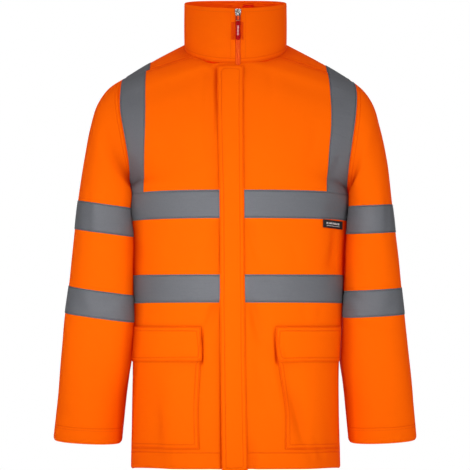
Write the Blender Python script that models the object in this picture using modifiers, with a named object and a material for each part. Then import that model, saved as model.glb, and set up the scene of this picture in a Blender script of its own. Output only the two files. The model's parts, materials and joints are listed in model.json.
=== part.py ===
"""Hi-vis work jacket, filled out as worn, for Blender 4.5.

The front faces -Y and +Z is up.  The origin is at the base of the neck, midway between the
shoulders, where the wearer holds the jacket up.  "Right" and "left" are the wearer's, so the
right side is at -X.  Sizes and tables are in millimetres; meshes are made in metres.

Every cloth piece is a surface of rows and columns, given a wall by Solidify.  The fronts and
the back share the seams that they are sewn on, and tape, pockets and flaps are made from the
points of the panel that they lie on, moved out along its normals.
"""
import math

import bmesh
import bpy
import numpy as np

MM = 0.001
RIGHT, LEFT = -1, 1
SIDE_NAME = {RIGHT: "right", LEFT: "left"}

# Cloth thicknesses and gaps.
CLOTH = 2.0
COLLAR_CLOTH = 2.4
TAPE = 0.9
SEAM_GAP = 0.6
NO_GAP = 1e-6
LAY_GAP = 0.45
TAPE_WIDTH = 50.0
TAPE_LIFT = 1.5
TAPE_INSET = 1.4
SLEEVE_CLEARANCE = 5.5
SLEEVE_CLEAR_BELOW = -268.0
ARM_RADIUS = 60.0

# Zip: the slot between the two fronts, and the chain and tape that close it.
ZIP_X = 4.5
ZIP_SLOT = 9.6
CHAIN_WIDTH = 8.0
CHAIN_RECESS = 0.2
ZIP_TAPE_WIDTH = 20.0
ZIP_TAPE = 0.8
ZIP_TAPE_CURL = 1.5

# Neck seam and collar, measured round an angle that is 0 at the centre front.
NECK_HALF_WIDTH = 94.0
NECK_FRONT = 90.0
NECK_BACK = 76.0
NECK_SEAM_MID, NECK_SEAM_TILT = -5.0, 33.0
COLLAR_TOP_BACK = 73.0
COLLAR_TOP_MID, COLLAR_TOP_TILT = 75.5, 16.5
SHOULDER_SEAM_AT_NECK = 58.0
SHOULDER_SEAM_AT_SLEEVE = 14.0
COLLAR_ROWS = (0.0, 0.33, 0.67, 1.0)

# Body section by height: half width on each side, front and back depth, squareness.
SECTION_COLUMNS = ("z", "right", "left", "front", "back", "power")
BODY_SECTIONS = (
    (-775, 192.0, 192.5, 150, 142, 2.6),
    (-700, 190.5, 190.5, 149, 142, 2.6),
    (-600, 188.5, 189.0, 148, 141, 2.6),
    (-520, 189.0, 193.5, 147, 140, 2.6),
    (-440, 191.0, 197.0, 146, 138, 2.55),
    (-350, 195.0, 202.0, 145, 137, 2.5),
    (-272, 204.0, 208.0, 143, 136, 2.5),
    (-200, 204.0, 210.0, 138, 136, 2.45),
    (-120, 204.0, 212.0, 122, 126, 2.4),
    (-75, 204.0, 213.0, 107, 113, 2.3),
    (-38, 204.0, 214.0, 90, 99, 2.2),
    (18, 204.0, 214.0, 78, 76, 2.2),
)

# Rows of the panels below the armhole: height on the centre line and at each side seam.
LOWER_ROWS = (
    ("hem", -759, -774, -774),
    ("pocket_bottom", -726, -742, -742),
    ("pocket_middle", -652, -664, -664),
    ("flap_bottom", -571, -581, -581),
    ("flap_top", -509, -515.5, -515.5),
    ("waist_bottom", -467, -475, -474),
    ("waist_top", -417.5, -423, -422),
    ("ribs", -368, -375, -373),
    ("chest_bottom", -318, -327, -324),
    ("chest_top", -268, -279, -277),
)
# Rows above: height on the centre line, or angle round the neck seam; angle round the
# armhole (0 top, 90 front, 180 underarm, 270 back); how far the row turns; rise at its middle.
UPPER_COLUMNS = ("name", "z", "neck", "armhole", "turn", "rise")
FRONT_UPPER_ROWS = (
    ("underarm", -250, None, 180, 88, 0),
    ("scye_low", -222, None, 159, 72, 0),
    ("scye", -190, None, 137, 58, 0),
    ("scye_mid", -155, None, 115, 48, 0),
    ("scye_high", -115, None, 93, 42, 0),
    ("yoke", -75, None, 73, 38, 0),
    ("neck_centre", None, 0, 55, 36, 0),
    ("neck_front", None, 22, 41, 34, 0),
    ("neck_side", None, 40, 27, 32, 0),
    ("shoulder_seam", None, SHOULDER_SEAM_AT_NECK, SHOULDER_SEAM_AT_SLEEVE, 30, 1),
)
BACK_UPPER_ROWS = (
    ("underarm", -250, None, 180, 88, 0),
    ("scye_low", -222, None, 201, 72, 0),
    ("scye", -188, None, 223, 58, 0),
    ("scye_mid", -148, None, 245, 48, 0),
    ("scye_high", -100, None, 267, 42, 0),
    ("blade", -45, None, 287, 38, 0),
    ("neck_back", None, 180, 304, 36, 1),
    ("neck_back_side", None, 150, 319, 34, 3),
    ("shoulder_back", None, 125, 333, 32, 5),
    ("shoulder_top", None, 105, 346, 30, 6),
    ("shoulder_ridge", None, 87, 360, 30, 6),
    ("shoulder_front", None, 72, 367, 30, 4),
    ("shoulder_seam", None, SHOULDER_SEAM_AT_NECK, 360 + SHOULDER_SEAM_AT_SLEEVE, 30, 1),
)
CHEST_ROWS = ("chest_bottom", "chest_top")
WAIST_ROWS = ("waist_bottom", "waist_top")

# How far the armhole's front bows out and twists, and its back bows out.
ARMHOLES = {
    RIGHT: dict(bow=-10, twist=10, back_bow=-9),
    LEFT: dict(bow=1, twist=6, back_bow=-9),
}

# Sleeve sections: outermost and innermost points, depth centre, half depth, squareness, and
# the share of the armhole's bow that is left.
SLEEVE_COLUMNS = ("name", "out_x", "out_z", "in_x", "in_z", "y", "depth", "power", "bow")
SLEEVES = {
    RIGHT: (
        ("armhole", 204, -64, 204, -272, 0, 85, 2.0, 1.0),
        ("cap", 229, -82, 217, -274, -2, 87, 2.0, 0.7),
        ("crown", 250, -107, 214, -279, -5, 89, 2.1, 0.45),
        ("head", 263, -148, 202, -286, -8, 90, 2.2, 0.3),
        ("biceps", 274.5, -204, 188, -292, -12, 89, 2.3, 0.25),
        ("upper_top", 287, -285, 177, -301, -16, 86, 2.5, 0.1),
        ("upper_middle", 290.3, -311, 175.3, -327, -17, 85, 2.55, 0.05),
        ("upper_bottom", 293, -337, 174, -353, -18, 84, 2.6, 0.0),
        ("elbow", 298.5, -388, 173, -406, -18, 81, 2.6, 0.0),
        ("lower_top", 304, -440, 173, -458, -18, 78, 2.6, 0.0),
        ("lower_bottom", 310.5, -489, 176, -507, -17, 75, 2.5, 0.0),
        ("forearm", 317.5, -562, 189, -572, -14, 71, 2.4, 0.0),
        ("wrist", 325, -640, 200, -646, -10, 66, 2.3, 0.0),
        ("cuff", 334, -723, 208, -724.5, -8, 61, 2.2, 0.0),
    ),
    LEFT: (
        ("armhole", 214.5, -67, 207.5, -272, 0, 85, 2.0, 1.0),
        ("cap", 233, -82, 218, -274, 1, 87, 2.0, 0.7),
        ("crown", 250, -106, 216, -279, 3, 89, 2.1, 0.45),
        ("head", 263.5, -147, 206, -285, 5, 89, 2.2, 0.3),
        ("biceps", 276.5, -204, 199, -289, 7, 88, 2.3, 0.25),
        ("upper_top", 288, -292, 195, -296, 9, 85, 2.4, 0.1),
        ("upper_middle", 291.5, -317.5, 193.5, -321.5, 9.5, 84, 2.4, 0.05),
        ("upper_bottom", 294.5, -343, 192, -347, 10, 83, 2.4, 0.0),
        ("elbow", 300.5, -392, 189, -397, 10, 80, 2.4, 0.0),
        ("lower_top", 305.5, -444, 187, -450, 9, 77, 2.4, 0.0),
        ("lower_bottom", 311, -493, 187, -499, 8, 74, 2.4, 0.0),
        ("forearm", 317.5, -562, 191, -566, 5, 70, 2.3, 0.0),
        ("wrist", 324, -640, 200, -644, 1, 65, 2.3, 0.0),
        ("cuff", 331, -723, 208, -724.5, -2, 60, 2.2, 0.0),
    ),
}
SLEEVE_BANDS = {"upper": ("upper_top", "upper_bottom"), "lower": ("lower_top", "lower_bottom")}
# Each sleeve is one piece of cloth, made as two solids that meet under its upper band.
SLEEVE_PARTS = {"upper": ("armhole", "upper_middle"), "lower": ("upper_middle", "cuff")}

# Inner edge of the shoulder tapes, as a distance from the middle, by height.
TAPE_LINE_COLUMNS = ("z", "front_right", "front_left", "back_right", "back_left")
TAPE_LINE = (
    (-300, 165, 161.5, 162, 163),
    (-200, 163.5, 166.5, 160, 166),
    (-120, 161.5, 171.5, 158, 170),
    (-62, 162.5, 169.5, 156, 168),
    (-30, 162.5, 165.5, 156, 165),
)
# Inner edge of the pockets and their flaps, by height.
POCKET_LINE = {
    RIGHT: ((-800, 63.5), (-726, 63.5), (-600, 63.5), (-571, 61.0), (-509, 60.5), (-400, 60.5)),
    LEFT: ((-800, 90.0), (-726, 87.7), (-600, 81.5), (-571, 75.8), (-509, 70.6), (-400, 66.0)),
}
PANEL_SPLIT = 0.4
INNER_STEPS, MIDDLE_STEPS = 3, 4
BEND_STEPS = (0.3, 0.6, 0.8, 1.0)
SLOPE_ROWS = 6
TAPE_COLUMN = INNER_STEPS + MIDDLE_STEPS
POCKET_COLUMNS = (INNER_STEPS, TAPE_COLUMN + 2)

# Largest soft folds of the fronts: a trough (or a ridge, where the depth is negative)
# between two points of the front view.
FOLD_COLUMNS = ("name", "x0", "z0", "x1", "z1", "width", "depth")
FRONT_FOLDS = (
    ("flap_drag_left", 28, -470, 62, -556, 34, 3.5),
    ("flap_drag_right", -38, -470, -66, -540, 30, 2.5),
    ("waist_drag", 22, -340, 62, -420, 36, 2.5),
    ("pocket_dent", 96, -585, 126, -700, 36, 4.0),
    ("chest_hollow", -52, -60, -36, -240, 40, 4.0),
    ("side_hollow", -150, -620, -140, -790, 44, 4.0),
    ("side_press", 182, -300, 176, -400, 34, 4.0),
)

# Storm flap: its free edge and its sewn edge, by height.
FLAP_COLUMNS = ("z", "free_x", "sewn_x")
STORM_FLAP = (
    (-775, -24.2, 22.0),
    (-470, -27.5, 17.0),
    (-270, -28.5, 15.5),
    (-150, -31.0, 14.5),
    (-39, -32.0, 14.5),
)
STORM_FLAP_STEPS = 3
STORM_FLAP_LIFT = LAY_GAP + TAPE + 0.9
STORM_FLAP_FREE_LIFT = 2.6
STORM_FLAP_GAP = 3.0

# Pockets, their flaps and the two tags.
POCKET_BULGE = 3.5
POCKET_FLAP_LIFT = LAY_GAP + CLOTH + LAY_GAP
TAG_SIZE = (37.0, 14.5)
TAG_CORNER = (155.5, -319.8)
TAG_LEAN = 4.0
TAG_LIFT = 0.9
NECK_TAG_SIZE = (21.0, 30.0)
NECK_TAG_X = 24.5
NECK_TAG_TOP = 84.0

# Slider and pull; wires are given by their radius.
SLIDER_WIDTH, SLIDER_HEIGHT = 11.5, 13.0
SLIDER_PLATE = 1.4
SLIDER_DROP = 1.5
WEDGE_WIDTH, WEDGE_HEIGHT = 4.0, 3.6
BRIDGE_WIRE = 1.0
PULL_WIRE = 0.65
PULL_CLEARANCE = 0.35
PULL_LINK_WIDTH, PULL_LINK_LENGTH = 7.4, 11.2
PULL_GRIP_WIDTH, PULL_GRIP_LENGTH, PULL_GRIP_DEPTH = 8.6, 33.5, 2.6
PULL_GRIP_EDGE = 0.7

# Colour, roughness and metallic value of each material.
MATERIALS = {
    "orange_cloth": ((1.0, 0.13, 0.003, 1.0), 0.75, 0.0),
    "reflective_tape": ((0.18, 0.185, 0.20, 1.0), 0.45, 0.1),
    "zip_tape": ((0.72, 0.09, 0.01, 1.0), 0.7, 0.0),
    "nickel": ((0.62, 0.61, 0.60, 1.0), 0.25, 1.0),
    "red_rubber": ((0.30, 0.004, 0.008, 1.0), 0.45, 0.0),
    "black_tag": ((0.012, 0.011, 0.011, 1.0), 0.6, 0.0),
    "red_tag": ((0.22, 0.008, 0.006, 1.0), 0.7, 0.0),
}


# ---------------------------------------------------------------------------------------------
# Curves and sections
# ---------------------------------------------------------------------------------------------
def spline(stations, values, at):
    """Value at a place on the smooth curve through the stations, which rise."""
    place = float(np.clip(at, stations[0], stations[-1]))
    index = int(np.clip(np.searchsorted(stations, place) - 1, 0, len(stations) - 2))
    slopes = np.gradient(np.asarray(values, float), np.asarray(stations, float))
    step = stations[index + 1] - stations[index]
    t = (place - stations[index]) / step
    start, end = values[index], values[index + 1]
    return ((1 + 2 * t) * (1 - t) ** 2 * start + t * (1 - t) ** 2 * step * slopes[index]
            + t * t * (3 - 2 * t) * end + t * t * (t - 1) * step * slopes[index + 1])


def from_table(table, column, at):
    """Smooth value of one column of a table whose first column rises."""
    return spline([row[0] for row in table], [row[column] for row in table], at)


def body(name, z):
    return from_table(BODY_SECTIONS, SECTION_COLUMNS.index(name), z)


def signed_power(value, power):
    return math.copysign(abs(value) ** (2.0 / power), value)


def power_sine(angle, power):
    return signed_power(math.sin(math.radians(angle)), power)


def power_cosine(angle, power):
    return signed_power(math.cos(math.radians(angle)), power)


def neck_ring(side, angle, front, back, middle, tilt):
    """Point on a tilted ring round the neck, at an angle from the centre front."""
    turn = math.radians(angle)
    depth = front if angle < 90 else back
    return np.array((side * NECK_HALF_WIDTH * math.sin(turn), -depth * math.cos(turn),
                     middle - tilt * math.cos(turn)))


def neck_point(side, angle):
    return neck_ring(side, angle, NECK_FRONT, NECK_BACK, NECK_SEAM_MID, NECK_SEAM_TILT)


def collar_top_point(side, angle):
    return neck_ring(side, angle, NECK_FRONT, COLLAR_TOP_BACK, COLLAR_TOP_MID, COLLAR_TOP_TILT)


def centre_front_angle(side):
    """Angle round the neck at which one front ends beside the zip."""
    edge = ZIP_X + side * ZIP_SLOT / 2
    return math.degrees(math.asin(side * edge / NECK_HALF_WIDTH))


def ring_point(side, ring, angle):
    """Point of a sleeve section, 0 on its outside and 90 at its front; the armhole is one."""
    hole = ARMHOLES[side]
    outer = np.array((ring["out_x"], ring["y"], ring["out_z"]))
    inner = np.array((ring["in_x"], ring["y"], ring["in_z"]))
    along, forward = power_cosine(angle, ring["power"]), power_sine(angle, ring["power"])
    point = (outer + inner) / 2 + (outer - inner) / 2 * along
    point[1] -= ring["depth"] * forward
    if forward > 0:
        point[0] += ring["bow"] * (hole["bow"] * forward + hole["twist"] * math.sin(2 * math.radians(angle)))
    else:
        point[0] -= ring["bow"] * hole["back_bow"] * forward
    point[0] *= side
    return point


def sleeve_rings(side):
    return [dict(zip(SLEEVE_COLUMNS, row)) for row in SLEEVES[side]]


def armhole_point(side, angle):
    return ring_point(side, sleeve_rings(side)[0], angle)


# ---------------------------------------------------------------------------------------------
# Panels
# ---------------------------------------------------------------------------------------------
def panel_rows(facing):
    lower = [dict(name=name, z=z, side_z={RIGHT: right_z, LEFT: left_z}, neck=None, armhole=None,
                  turn=90, rise=0, slope=0) for name, z, right_z, left_z in LOWER_ROWS]
    upper = [dict(zip(UPPER_COLUMNS, row))
             for row in (FRONT_UPPER_ROWS if facing == "front" else BACK_UPPER_ROWS)]
    for index, row in enumerate(upper):
        row["slope"] = min(1.0, index / SLOPE_ROWS)
    return lower + upper


def row_index(facing, name):
    return [row["name"] for row in panel_rows(facing)].index(name)


def row_ends(side, row, facing):
    """Inner and outer end of a panel's row."""
    forward = -1 if facing == "front" else 1
    centre_x = ZIP_X + side * ZIP_SLOT / 2 if facing == "front" else 0.0
    if row["neck"] is None:
        inner = np.array((centre_x, forward * body(facing, row["z"]), row["z"]))
    else:
        inner = neck_point(side, row["neck"] or centre_front_angle(side))
    if row["armhole"] is None:
        side_z = row["side_z"][side]
        outer = np.array((side * body(SIDE_NAME[side], side_z), 0.0, side_z))
    else:
        outer = armhole_point(side, row["armhole"])
    return inner, outer


def row_curve(side, row, facing):
    """The row as two functions: its point at a bend angle, and the bend angle at an x."""
    inner, outer = row_ends(side, row, facing)
    power = body("power", inner[2])
    full_sine = power_sine(row["turn"], power)
    full_drop = 1 - power_cosine(row["turn"], power)

    def point_at(angle):
        out = power_sine(angle, power) / full_sine
        drop = (1 - power_cosine(angle, power)) / full_drop
        fall = row["slope"] * out + (1 - row["slope"]) * drop
        x, y, z = inner + (outer - inner) * (out, drop, fall)
        return np.array((x, y, z + row["rise"] * 4 * out * (1 - out)))

    def angle_at(x):
        share = (x - inner[0]) / (outer[0] - inner[0])
        return math.degrees(math.asin(min(1.0, signed_power(share * full_sine, 4 / power))))

    return point_at, angle_at


def row_points(side, row, facing):
    """One row of a panel, from the centre line or neck to the side seam or armhole."""
    inner, outer = row_ends(side, row, facing)
    point_at, angle_at = row_curve(side, row, facing)
    tape_column = TAPE_LINE_COLUMNS.index(f"{facing}_{SIDE_NAME[side]}")
    tape_x = side * from_table(TAPE_LINE, tape_column, (inner[2] + outer[2]) / 2)
    split_x = inner[0] + PANEL_SPLIT * (tape_x - inner[0])
    if facing == "front" and row["armhole"] is None:
        split_x = side * from_table(POCKET_LINE[side], 1, inner[2])
    places = np.concatenate((np.linspace(inner[0], split_x, INNER_STEPS + 1)[:-1],
                             np.linspace(split_x, tape_x, MIDDLE_STEPS + 1)))
    angles = [angle_at(x) for x in places]
    angles += [angles[-1] + (row["turn"] - angles[-1]) * step for step in BEND_STEPS]
    return [point_at(angle) for angle in angles]


def normals_of(grid, outward, closed=False):
    """Unit normal at each point of a grid, on the side of the outward direction of a point."""
    up = np.gradient(grid, axis=0)
    across = (np.roll(grid, -1, axis=1) - np.roll(grid, 1, axis=1)) if closed else np.gradient(grid, axis=1)
    normal = np.cross(across, up)
    normal /= np.linalg.norm(normal, axis=2, keepdims=True)
    middle = grid.shape[0] // 2, grid.shape[1] // 4
    return normal if np.dot(normal[middle], outward(grid[middle])) > 0 else -normal


def fold_depth(x, z):
    """How far the front's cloth sinks at a place of the front view."""
    depth = 0.0
    for row in FRONT_FOLDS:
        fold = dict(zip(FOLD_COLUMNS, row))
        start = np.array((fold["x0"], fold["z0"]))
        run = np.array((fold["x1"], fold["z1"])) - start
        offset = np.array((x, z)) - start
        along = np.clip(np.dot(offset, run) / np.dot(run, run), 0, 1)
        distance = np.linalg.norm(offset - along * run)
        depth += fold["depth"] * math.exp(-(2 * distance / fold["width"]) ** 2)
    return depth


def sunk(grid, normal):
    """The front's grid with its soft folds pressed in."""
    depths = np.array([[fold_depth(point[0], point[2]) for point in row] for row in grid])
    return grid - normal * depths[..., None]


def trimmed(grid, bottom=NO_GAP, top=NO_GAP, start=NO_GAP, end=NO_GAP):
    """The grid with its borders drawn in towards their neighbours."""
    cut = grid.copy()
    for border, inside, gap in ((cut[0], grid[1], bottom), (cut[-1], grid[-2], top),
                                (cut[:, 0], grid[:, 1], start), (cut[:, -1], grid[:, -2], end)):
        run = inside - border
        border += run / np.maximum(np.linalg.norm(run, axis=-1, keepdims=True), gap) * gap
    return cut


def panel(side, facing):
    """Outer surface of a front, or of half the back, and its normals; columns run outwards."""
    grid = np.array([row_points(side, row, facing) for row in panel_rows(facing)])
    normal = normals_of(grid, lambda point: (0, point[1], 0))
    if facing == "front":
        grid = sunk(grid, normal)
    else:
        seam = slice(0, row_index("back", "neck_back") + 1)
        normal[seam, 0, 0] = 0
        normal /= np.linalg.norm(normal, axis=2, keepdims=True)
    return trimmed(grid, top=SEAM_GAP / 2, end=SEAM_GAP / 2), normal


def on_grid(grid, row, column):
    """Point between the grid's own points, at a fractional row and column."""
    i = int(np.clip(math.floor(row), 0, grid.shape[0] - 2))
    j = int(np.clip(math.floor(column), 0, grid.shape[1] - 2))
    u, v = row - i, column - j
    return ((1 - u) * (1 - v) * grid[i, j] + (1 - u) * v * grid[i, j + 1]
            + u * (1 - v) * grid[i + 1, j] + u * v * grid[i + 1, j + 1])


def locate(grid, x, z, row, column):
    """Fractional row and column of a place of the front view, from a first guess."""
    step = 1e-3
    for _ in range(12):
        here = on_grid(grid, row, column)[[0, 2]]
        by_row = (on_grid(grid, row + step, column)[[0, 2]] - here) / step
        by_column = (on_grid(grid, row, column + step)[[0, 2]] - here) / step
        change = np.linalg.solve(np.column_stack((by_row, by_column)), np.array((x, z)) - here)
        row, column = row + change[0], column + change[1]
    return row, column


# ---------------------------------------------------------------------------------------------
# Objects
# ---------------------------------------------------------------------------------------------
def new_material(name):
    colour, roughness, metallic = MATERIALS[name]
    material = bpy.data.materials.new(name)
    material.use_nodes = True
    shader = material.node_tree.nodes["Principled BSDF"]
    shader.inputs["Base Color"].default_value = colour
    shader.inputs["Roughness"].default_value = roughness
    shader.inputs["Metallic"].default_value = metallic
    material.diffuse_color = colour
    return material


def material_named(name):
    return bpy.data.materials.get(name) or new_material(name)


def new_object(name, bm, material, collection="jacket"):
    mesh = bpy.data.meshes.new(name)
    bm.to_mesh(mesh)
    bm.free()
    mesh.materials.append(material_named(material))
    mesh.shade_smooth()
    obj = bpy.data.objects.new(name, mesh)
    bpy.data.collections[collection].objects.link(obj)
    return obj


def add_grid(bm, grid, normal, closed):
    """Faces between the points of a grid, turned to the side that its normals point to."""
    rows = [[bm.verts.new(point * MM) for point in row] for row in grid]
    columns = grid.shape[1]
    across, up = grid[1, 1] - grid[1, 0], grid[2 if len(grid) > 2 else 1, 0] - grid[0, 0]
    ahead = np.dot(np.cross(across, up), normal[1, 0]) > 0
    for low, high in zip(rows, rows[1:]):
        for j in range(columns if closed else columns - 1):
            k = (j + 1) % columns
            for corners in ((low[j], low[k], high[k]), (low[j], high[k], high[j])):
                bm.faces.new(corners if ahead else corners[::-1])


def cloth(name, pieces, thickness, material, closed=False):
    """A wall of cloth behind one or more surfaces, which are given as (grid, normals)."""
    bm = bmesh.new()
    for grid, normal in pieces:
        add_grid(bm, grid, normal, closed)
    bmesh.ops.remove_doubles(bm, verts=bm.verts, dist=0.01 * MM)
    obj = new_object(name, bm, material)
    wall = obj.modifiers.new("wall", "SOLIDIFY")
    wall.thickness = thickness * MM
    wall.offset = -1
    wall.use_even_offset = False
    return obj


def laid_on(name, parts, rows, columns, lift, thickness, material, bulge=None):
    """A piece that lies on panels: their points between two rows and columns, moved out."""
    pieces = []
    for grid, normal in parts:
        grid, normal = grid[rows, columns], normal[rows, columns]
        height = np.full(grid.shape[:2], lift + thickness)
        if bulge is not None:
            height += bulge
        pieces.append((grid + normal * height[..., None], normal))
    return cloth(name, pieces, thickness, material)


def box(name, low, high, material, collection="jacket"):
    bm = bmesh.new()
    bmesh.ops.create_cube(bm, size=1)
    low, high = np.array(low), np.array(high)
    for vert in bm.verts:
        vert.co = ((low + high) / 2 + np.array(vert.co) * (high - low)) * MM
    return new_object(name, bm, material, collection)


def wire(name, points, radius, cyclic, material, collection="jacket"):
    """A round wire through the points, as a closed mesh."""
    curve = bpy.data.curves.new(name, "CURVE")
    curve.dimensions = "3D"
    curve.bevel_depth = radius * MM
    curve.bevel_resolution = 2
    curve.use_fill_caps = True
    line = curve.splines.new("POLY")
    line.points.add(len(points) - 1)
    line.use_cyclic_u = cyclic
    for target, point in zip(line.points, points):
        target.co = (*(np.array(point) * MM), 1)
    source = bpy.data.objects.new(name + "_curve", curve)
    bpy.context.scene.collection.objects.link(source)
    mesh = bpy.data.meshes.new_from_object(source.evaluated_get(bpy.context.evaluated_depsgraph_get()))
    bpy.data.objects.remove(source)
    bm = bmesh.new()
    bm.from_mesh(mesh)
    bmesh.ops.remove_doubles(bm, verts=bm.verts, dist=0.01 * MM)
    return new_object(name, bm, material, collection)


def join(target, others):
    for other in others:
        other.hide_render = True
        other.display_type = "WIRE"
        union = target.modifiers.new("join_" + other.name, "BOOLEAN")
        union.operation = "UNION"
        union.object = other


# ---------------------------------------------------------------------------------------------
# Pieces
# ---------------------------------------------------------------------------------------------
def tape_columns(row):
    """Columns of a panel's row under the tape, the outer ones held at its width."""
    lengths = np.cumsum(np.linalg.norm(np.diff(row[TAPE_COLUMN:], axis=0), axis=1))
    columns = np.arange(TAPE_COLUMN, len(row), dtype=float)
    edge = np.interp(TAPE_WIDTH, np.concatenate(([0.0], lengths)), columns)
    return np.minimum(columns, edge)


def make_panels(fronts, backs):
    for side, part in fronts.items():
        cloth(f"front_{SIDE_NAME[side]}", [part], CLOTH, "orange_cloth")
    cloth("back", list(backs.values()), CLOTH, "orange_cloth")


def make_bands(fronts, backs):
    """Chest and waist bands, and the tapes over the shoulders."""
    for band, (low, high) in {"chest": CHEST_ROWS, "waist": WAIST_ROWS}.items():
        rows = slice(row_index("front", low), row_index("front", high) + 1)
        for side, part in fronts.items():
            laid_on(f"{band}_band_{SIDE_NAME[side]}", [part], rows, slice(None),
                    LAY_GAP, TAPE, "reflective_tape")
        laid_on(f"{band}_band_back", list(backs.values()), rows, slice(None),
                LAY_GAP, TAPE, "reflective_tape")
    for facing, halves in {"front": fronts, "back": backs}.items():
        for side, (grid, normal) in halves.items():
            first = row_index(facing, "chest_top")
            places = [(row, tape_columns(grid[row])) for row in range(first, len(grid))]
            strip, face = (np.array([[on_grid(source, row, column) for column in columns]
                                     for row, columns in places]) for source in (grid, normal))
            strip = trimmed(strip, bottom=SEAM_GAP, end=TAPE_INSET)
            laid_on(f"shoulder_tape_{facing}_{SIDE_NAME[side]}", [(strip, face)], slice(None), slice(None),
                    TAPE_LIFT, TAPE, "reflective_tape")


def make_pockets(fronts):
    rows = slice(row_index("front", "pocket_bottom"), row_index("front", "flap_top") + 1)
    columns = slice(POCKET_COLUMNS[0], POCKET_COLUMNS[1] + 1)
    heights = np.sin(np.linspace(0, math.pi, rows.stop - rows.start))
    widths = np.sin(np.linspace(0, math.pi, columns.stop - columns.start))
    bulge = POCKET_BULGE * np.outer(heights, widths)
    flap_rows = slice(rows.stop - 2, rows.stop)
    for side, part in fronts.items():
        laid_on(f"pocket_{SIDE_NAME[side]}", [part], rows, columns, LAY_GAP, CLOTH, "orange_cloth", bulge)
        laid_on(f"pocket_flap_{SIDE_NAME[side]}", [part], flap_rows, columns,
                POCKET_FLAP_LIFT, CLOTH, "orange_cloth", bulge[-2:])


def clear_of_body(side, point):
    """A sleeve's point below the armhole, moved out past the body's side where they meet."""
    x, y, z = point
    if z > SLEEVE_CLEAR_BELOW:
        return point
    power = body("power", z)
    depth = body("front" if y < 0 else "back", z) + SLEEVE_CLEARANCE
    reach = body(SIDE_NAME[side], z) + SLEEVE_CLEARANCE
    limit = reach * max(0.0, 1 - abs(y / depth) ** power) ** (1 / power)
    return np.array((side * max(abs(x), limit), y, z))


def armhole_angles():
    """Angles of the panels' rows round the armhole, so that the sleeve meets them."""
    front = [row[UPPER_COLUMNS.index("armhole")] for row in FRONT_UPPER_ROWS]
    back = [row[UPPER_COLUMNS.index("armhole")] for row in BACK_UPPER_ROWS]
    return sorted({angle % 360 for angle in front + back})


def make_sleeves():
    for side in (RIGHT, LEFT):
        name = SIDE_NAME[side]
        rings = sleeve_rings(side)
        grid = np.array([[clear_of_body(side, ring_point(side, ring, angle))
                          for angle in armhole_angles()] for ring in rings])
        grid[0] += (side * SEAM_GAP, 0, 0)
        centre = (side * rings[len(rings) // 2]["out_x"] - side * ARM_RADIUS, 0, 0)
        normal = normals_of(grid, lambda point: (point[0] - centre[0], point[1], 0), closed=True)
        names = [ring["name"] for ring in rings]
        for part, (top, bottom) in SLEEVE_PARTS.items():
            rows = slice(names.index(top), names.index(bottom) + 1)
            gaps = (NO_GAP, SEAM_GAP / 2) if part == "upper" else (SEAM_GAP / 2, NO_GAP)
            cut = trimmed(grid[rows], bottom=gaps[0], top=gaps[1])
            cloth(f"sleeve_{name}_{part}", [(cut, normal[rows])], CLOTH, "orange_cloth", closed=True)
        for band, (top, bottom) in SLEEVE_BANDS.items():
            rows = slice(names.index(top), names.index(bottom) + 1)
            outer = grid[rows] + normal[rows] * (LAY_GAP + TAPE)
            cloth(f"sleeve_band_{band}_{name}", [(outer, normal[rows])], TAPE, "reflective_tape", closed=True)


def neck_angles():
    front = [row[UPPER_COLUMNS.index("neck")] for row in FRONT_UPPER_ROWS]
    back = [row[UPPER_COLUMNS.index("neck")] for row in BACK_UPPER_ROWS]
    return sorted({angle for angle in front + back if angle})


def collar_surface():
    """Collar from the right front's edge round the back to the left front's edge."""
    angles = neck_angles()
    stations = [(RIGHT, centre_front_angle(RIGHT))] + [(RIGHT, angle) for angle in angles]
    stations += [(LEFT, angle) for angle in angles[-2::-1]] + [(LEFT, centre_front_angle(LEFT))]
    rows = []
    for share in COLLAR_ROWS:
        row = []
        for side, angle in stations:
            low, high = neck_point(side, angle) + (0, 0, SEAM_GAP), collar_top_point(side, angle)
            row.append(low + (high - low) * share)
        rows.append(row)
    grid = np.array(rows)
    return grid, normals_of(grid, lambda point: (point[0], point[1], 0))


def make_collar(grid, normal):
    cloth("collar", [(grid, normal)], COLLAR_CLOTH, "orange_cloth")
    middle = grid.shape[1] // 2
    span = grid[0, middle + 1][0] - grid[0, middle][0]
    left, right = ((NECK_TAG_X + shift * NECK_TAG_SIZE[0]) / span + middle for shift in (-0.5, 0.5))
    low_z, high_z = grid[0, middle][2], grid[-1, middle][2]
    rows = [(z - low_z) / (high_z - low_z) * (len(grid) - 1)
            for z in (NECK_TAG_TOP - NECK_TAG_SIZE[1], NECK_TAG_TOP)]
    depth = COLLAR_CLOTH + LAY_GAP
    tag = np.array([[on_grid(grid, row, column) for column in (left, right)] for row in rows])
    face = normals_of(tag, lambda point: (0, 1, 0))
    cloth("neck_tag", [(tag - face * depth, face)], TAPE, "red_tag")


def make_chest_tag(part):
    """Tag on the left front under the chest band, bent where the panel's own columns bend."""
    grid, _ = part
    guess = row_index("front", "chest_bottom") - 0.5, TAPE_COLUMN + 0.5
    rows = []
    for drop in (TAG_SIZE[1], 0):
        ends = [locate(grid, TAG_CORNER[0] + TAG_SIZE[0] * end, TAG_CORNER[1] - TAG_LEAN * end - drop, *guess)
                for end in (0, 1)]
        stops = [ends[0][1], *range(TAPE_COLUMN, math.ceil(ends[1][1])), ends[1][1]]
        heights = np.interp(stops, [end[1] for end in ends], [end[0] for end in ends])
        rows.append([on_grid(grid, *place) for place in zip(heights, stops)])
    tag = np.array(rows)
    normal = normals_of(tag, lambda point: (0, -1, 0))
    cloth("chest_tag", [(tag + normal * (TAG_LIFT + TAPE), normal)], TAPE, "black_tag")


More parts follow.
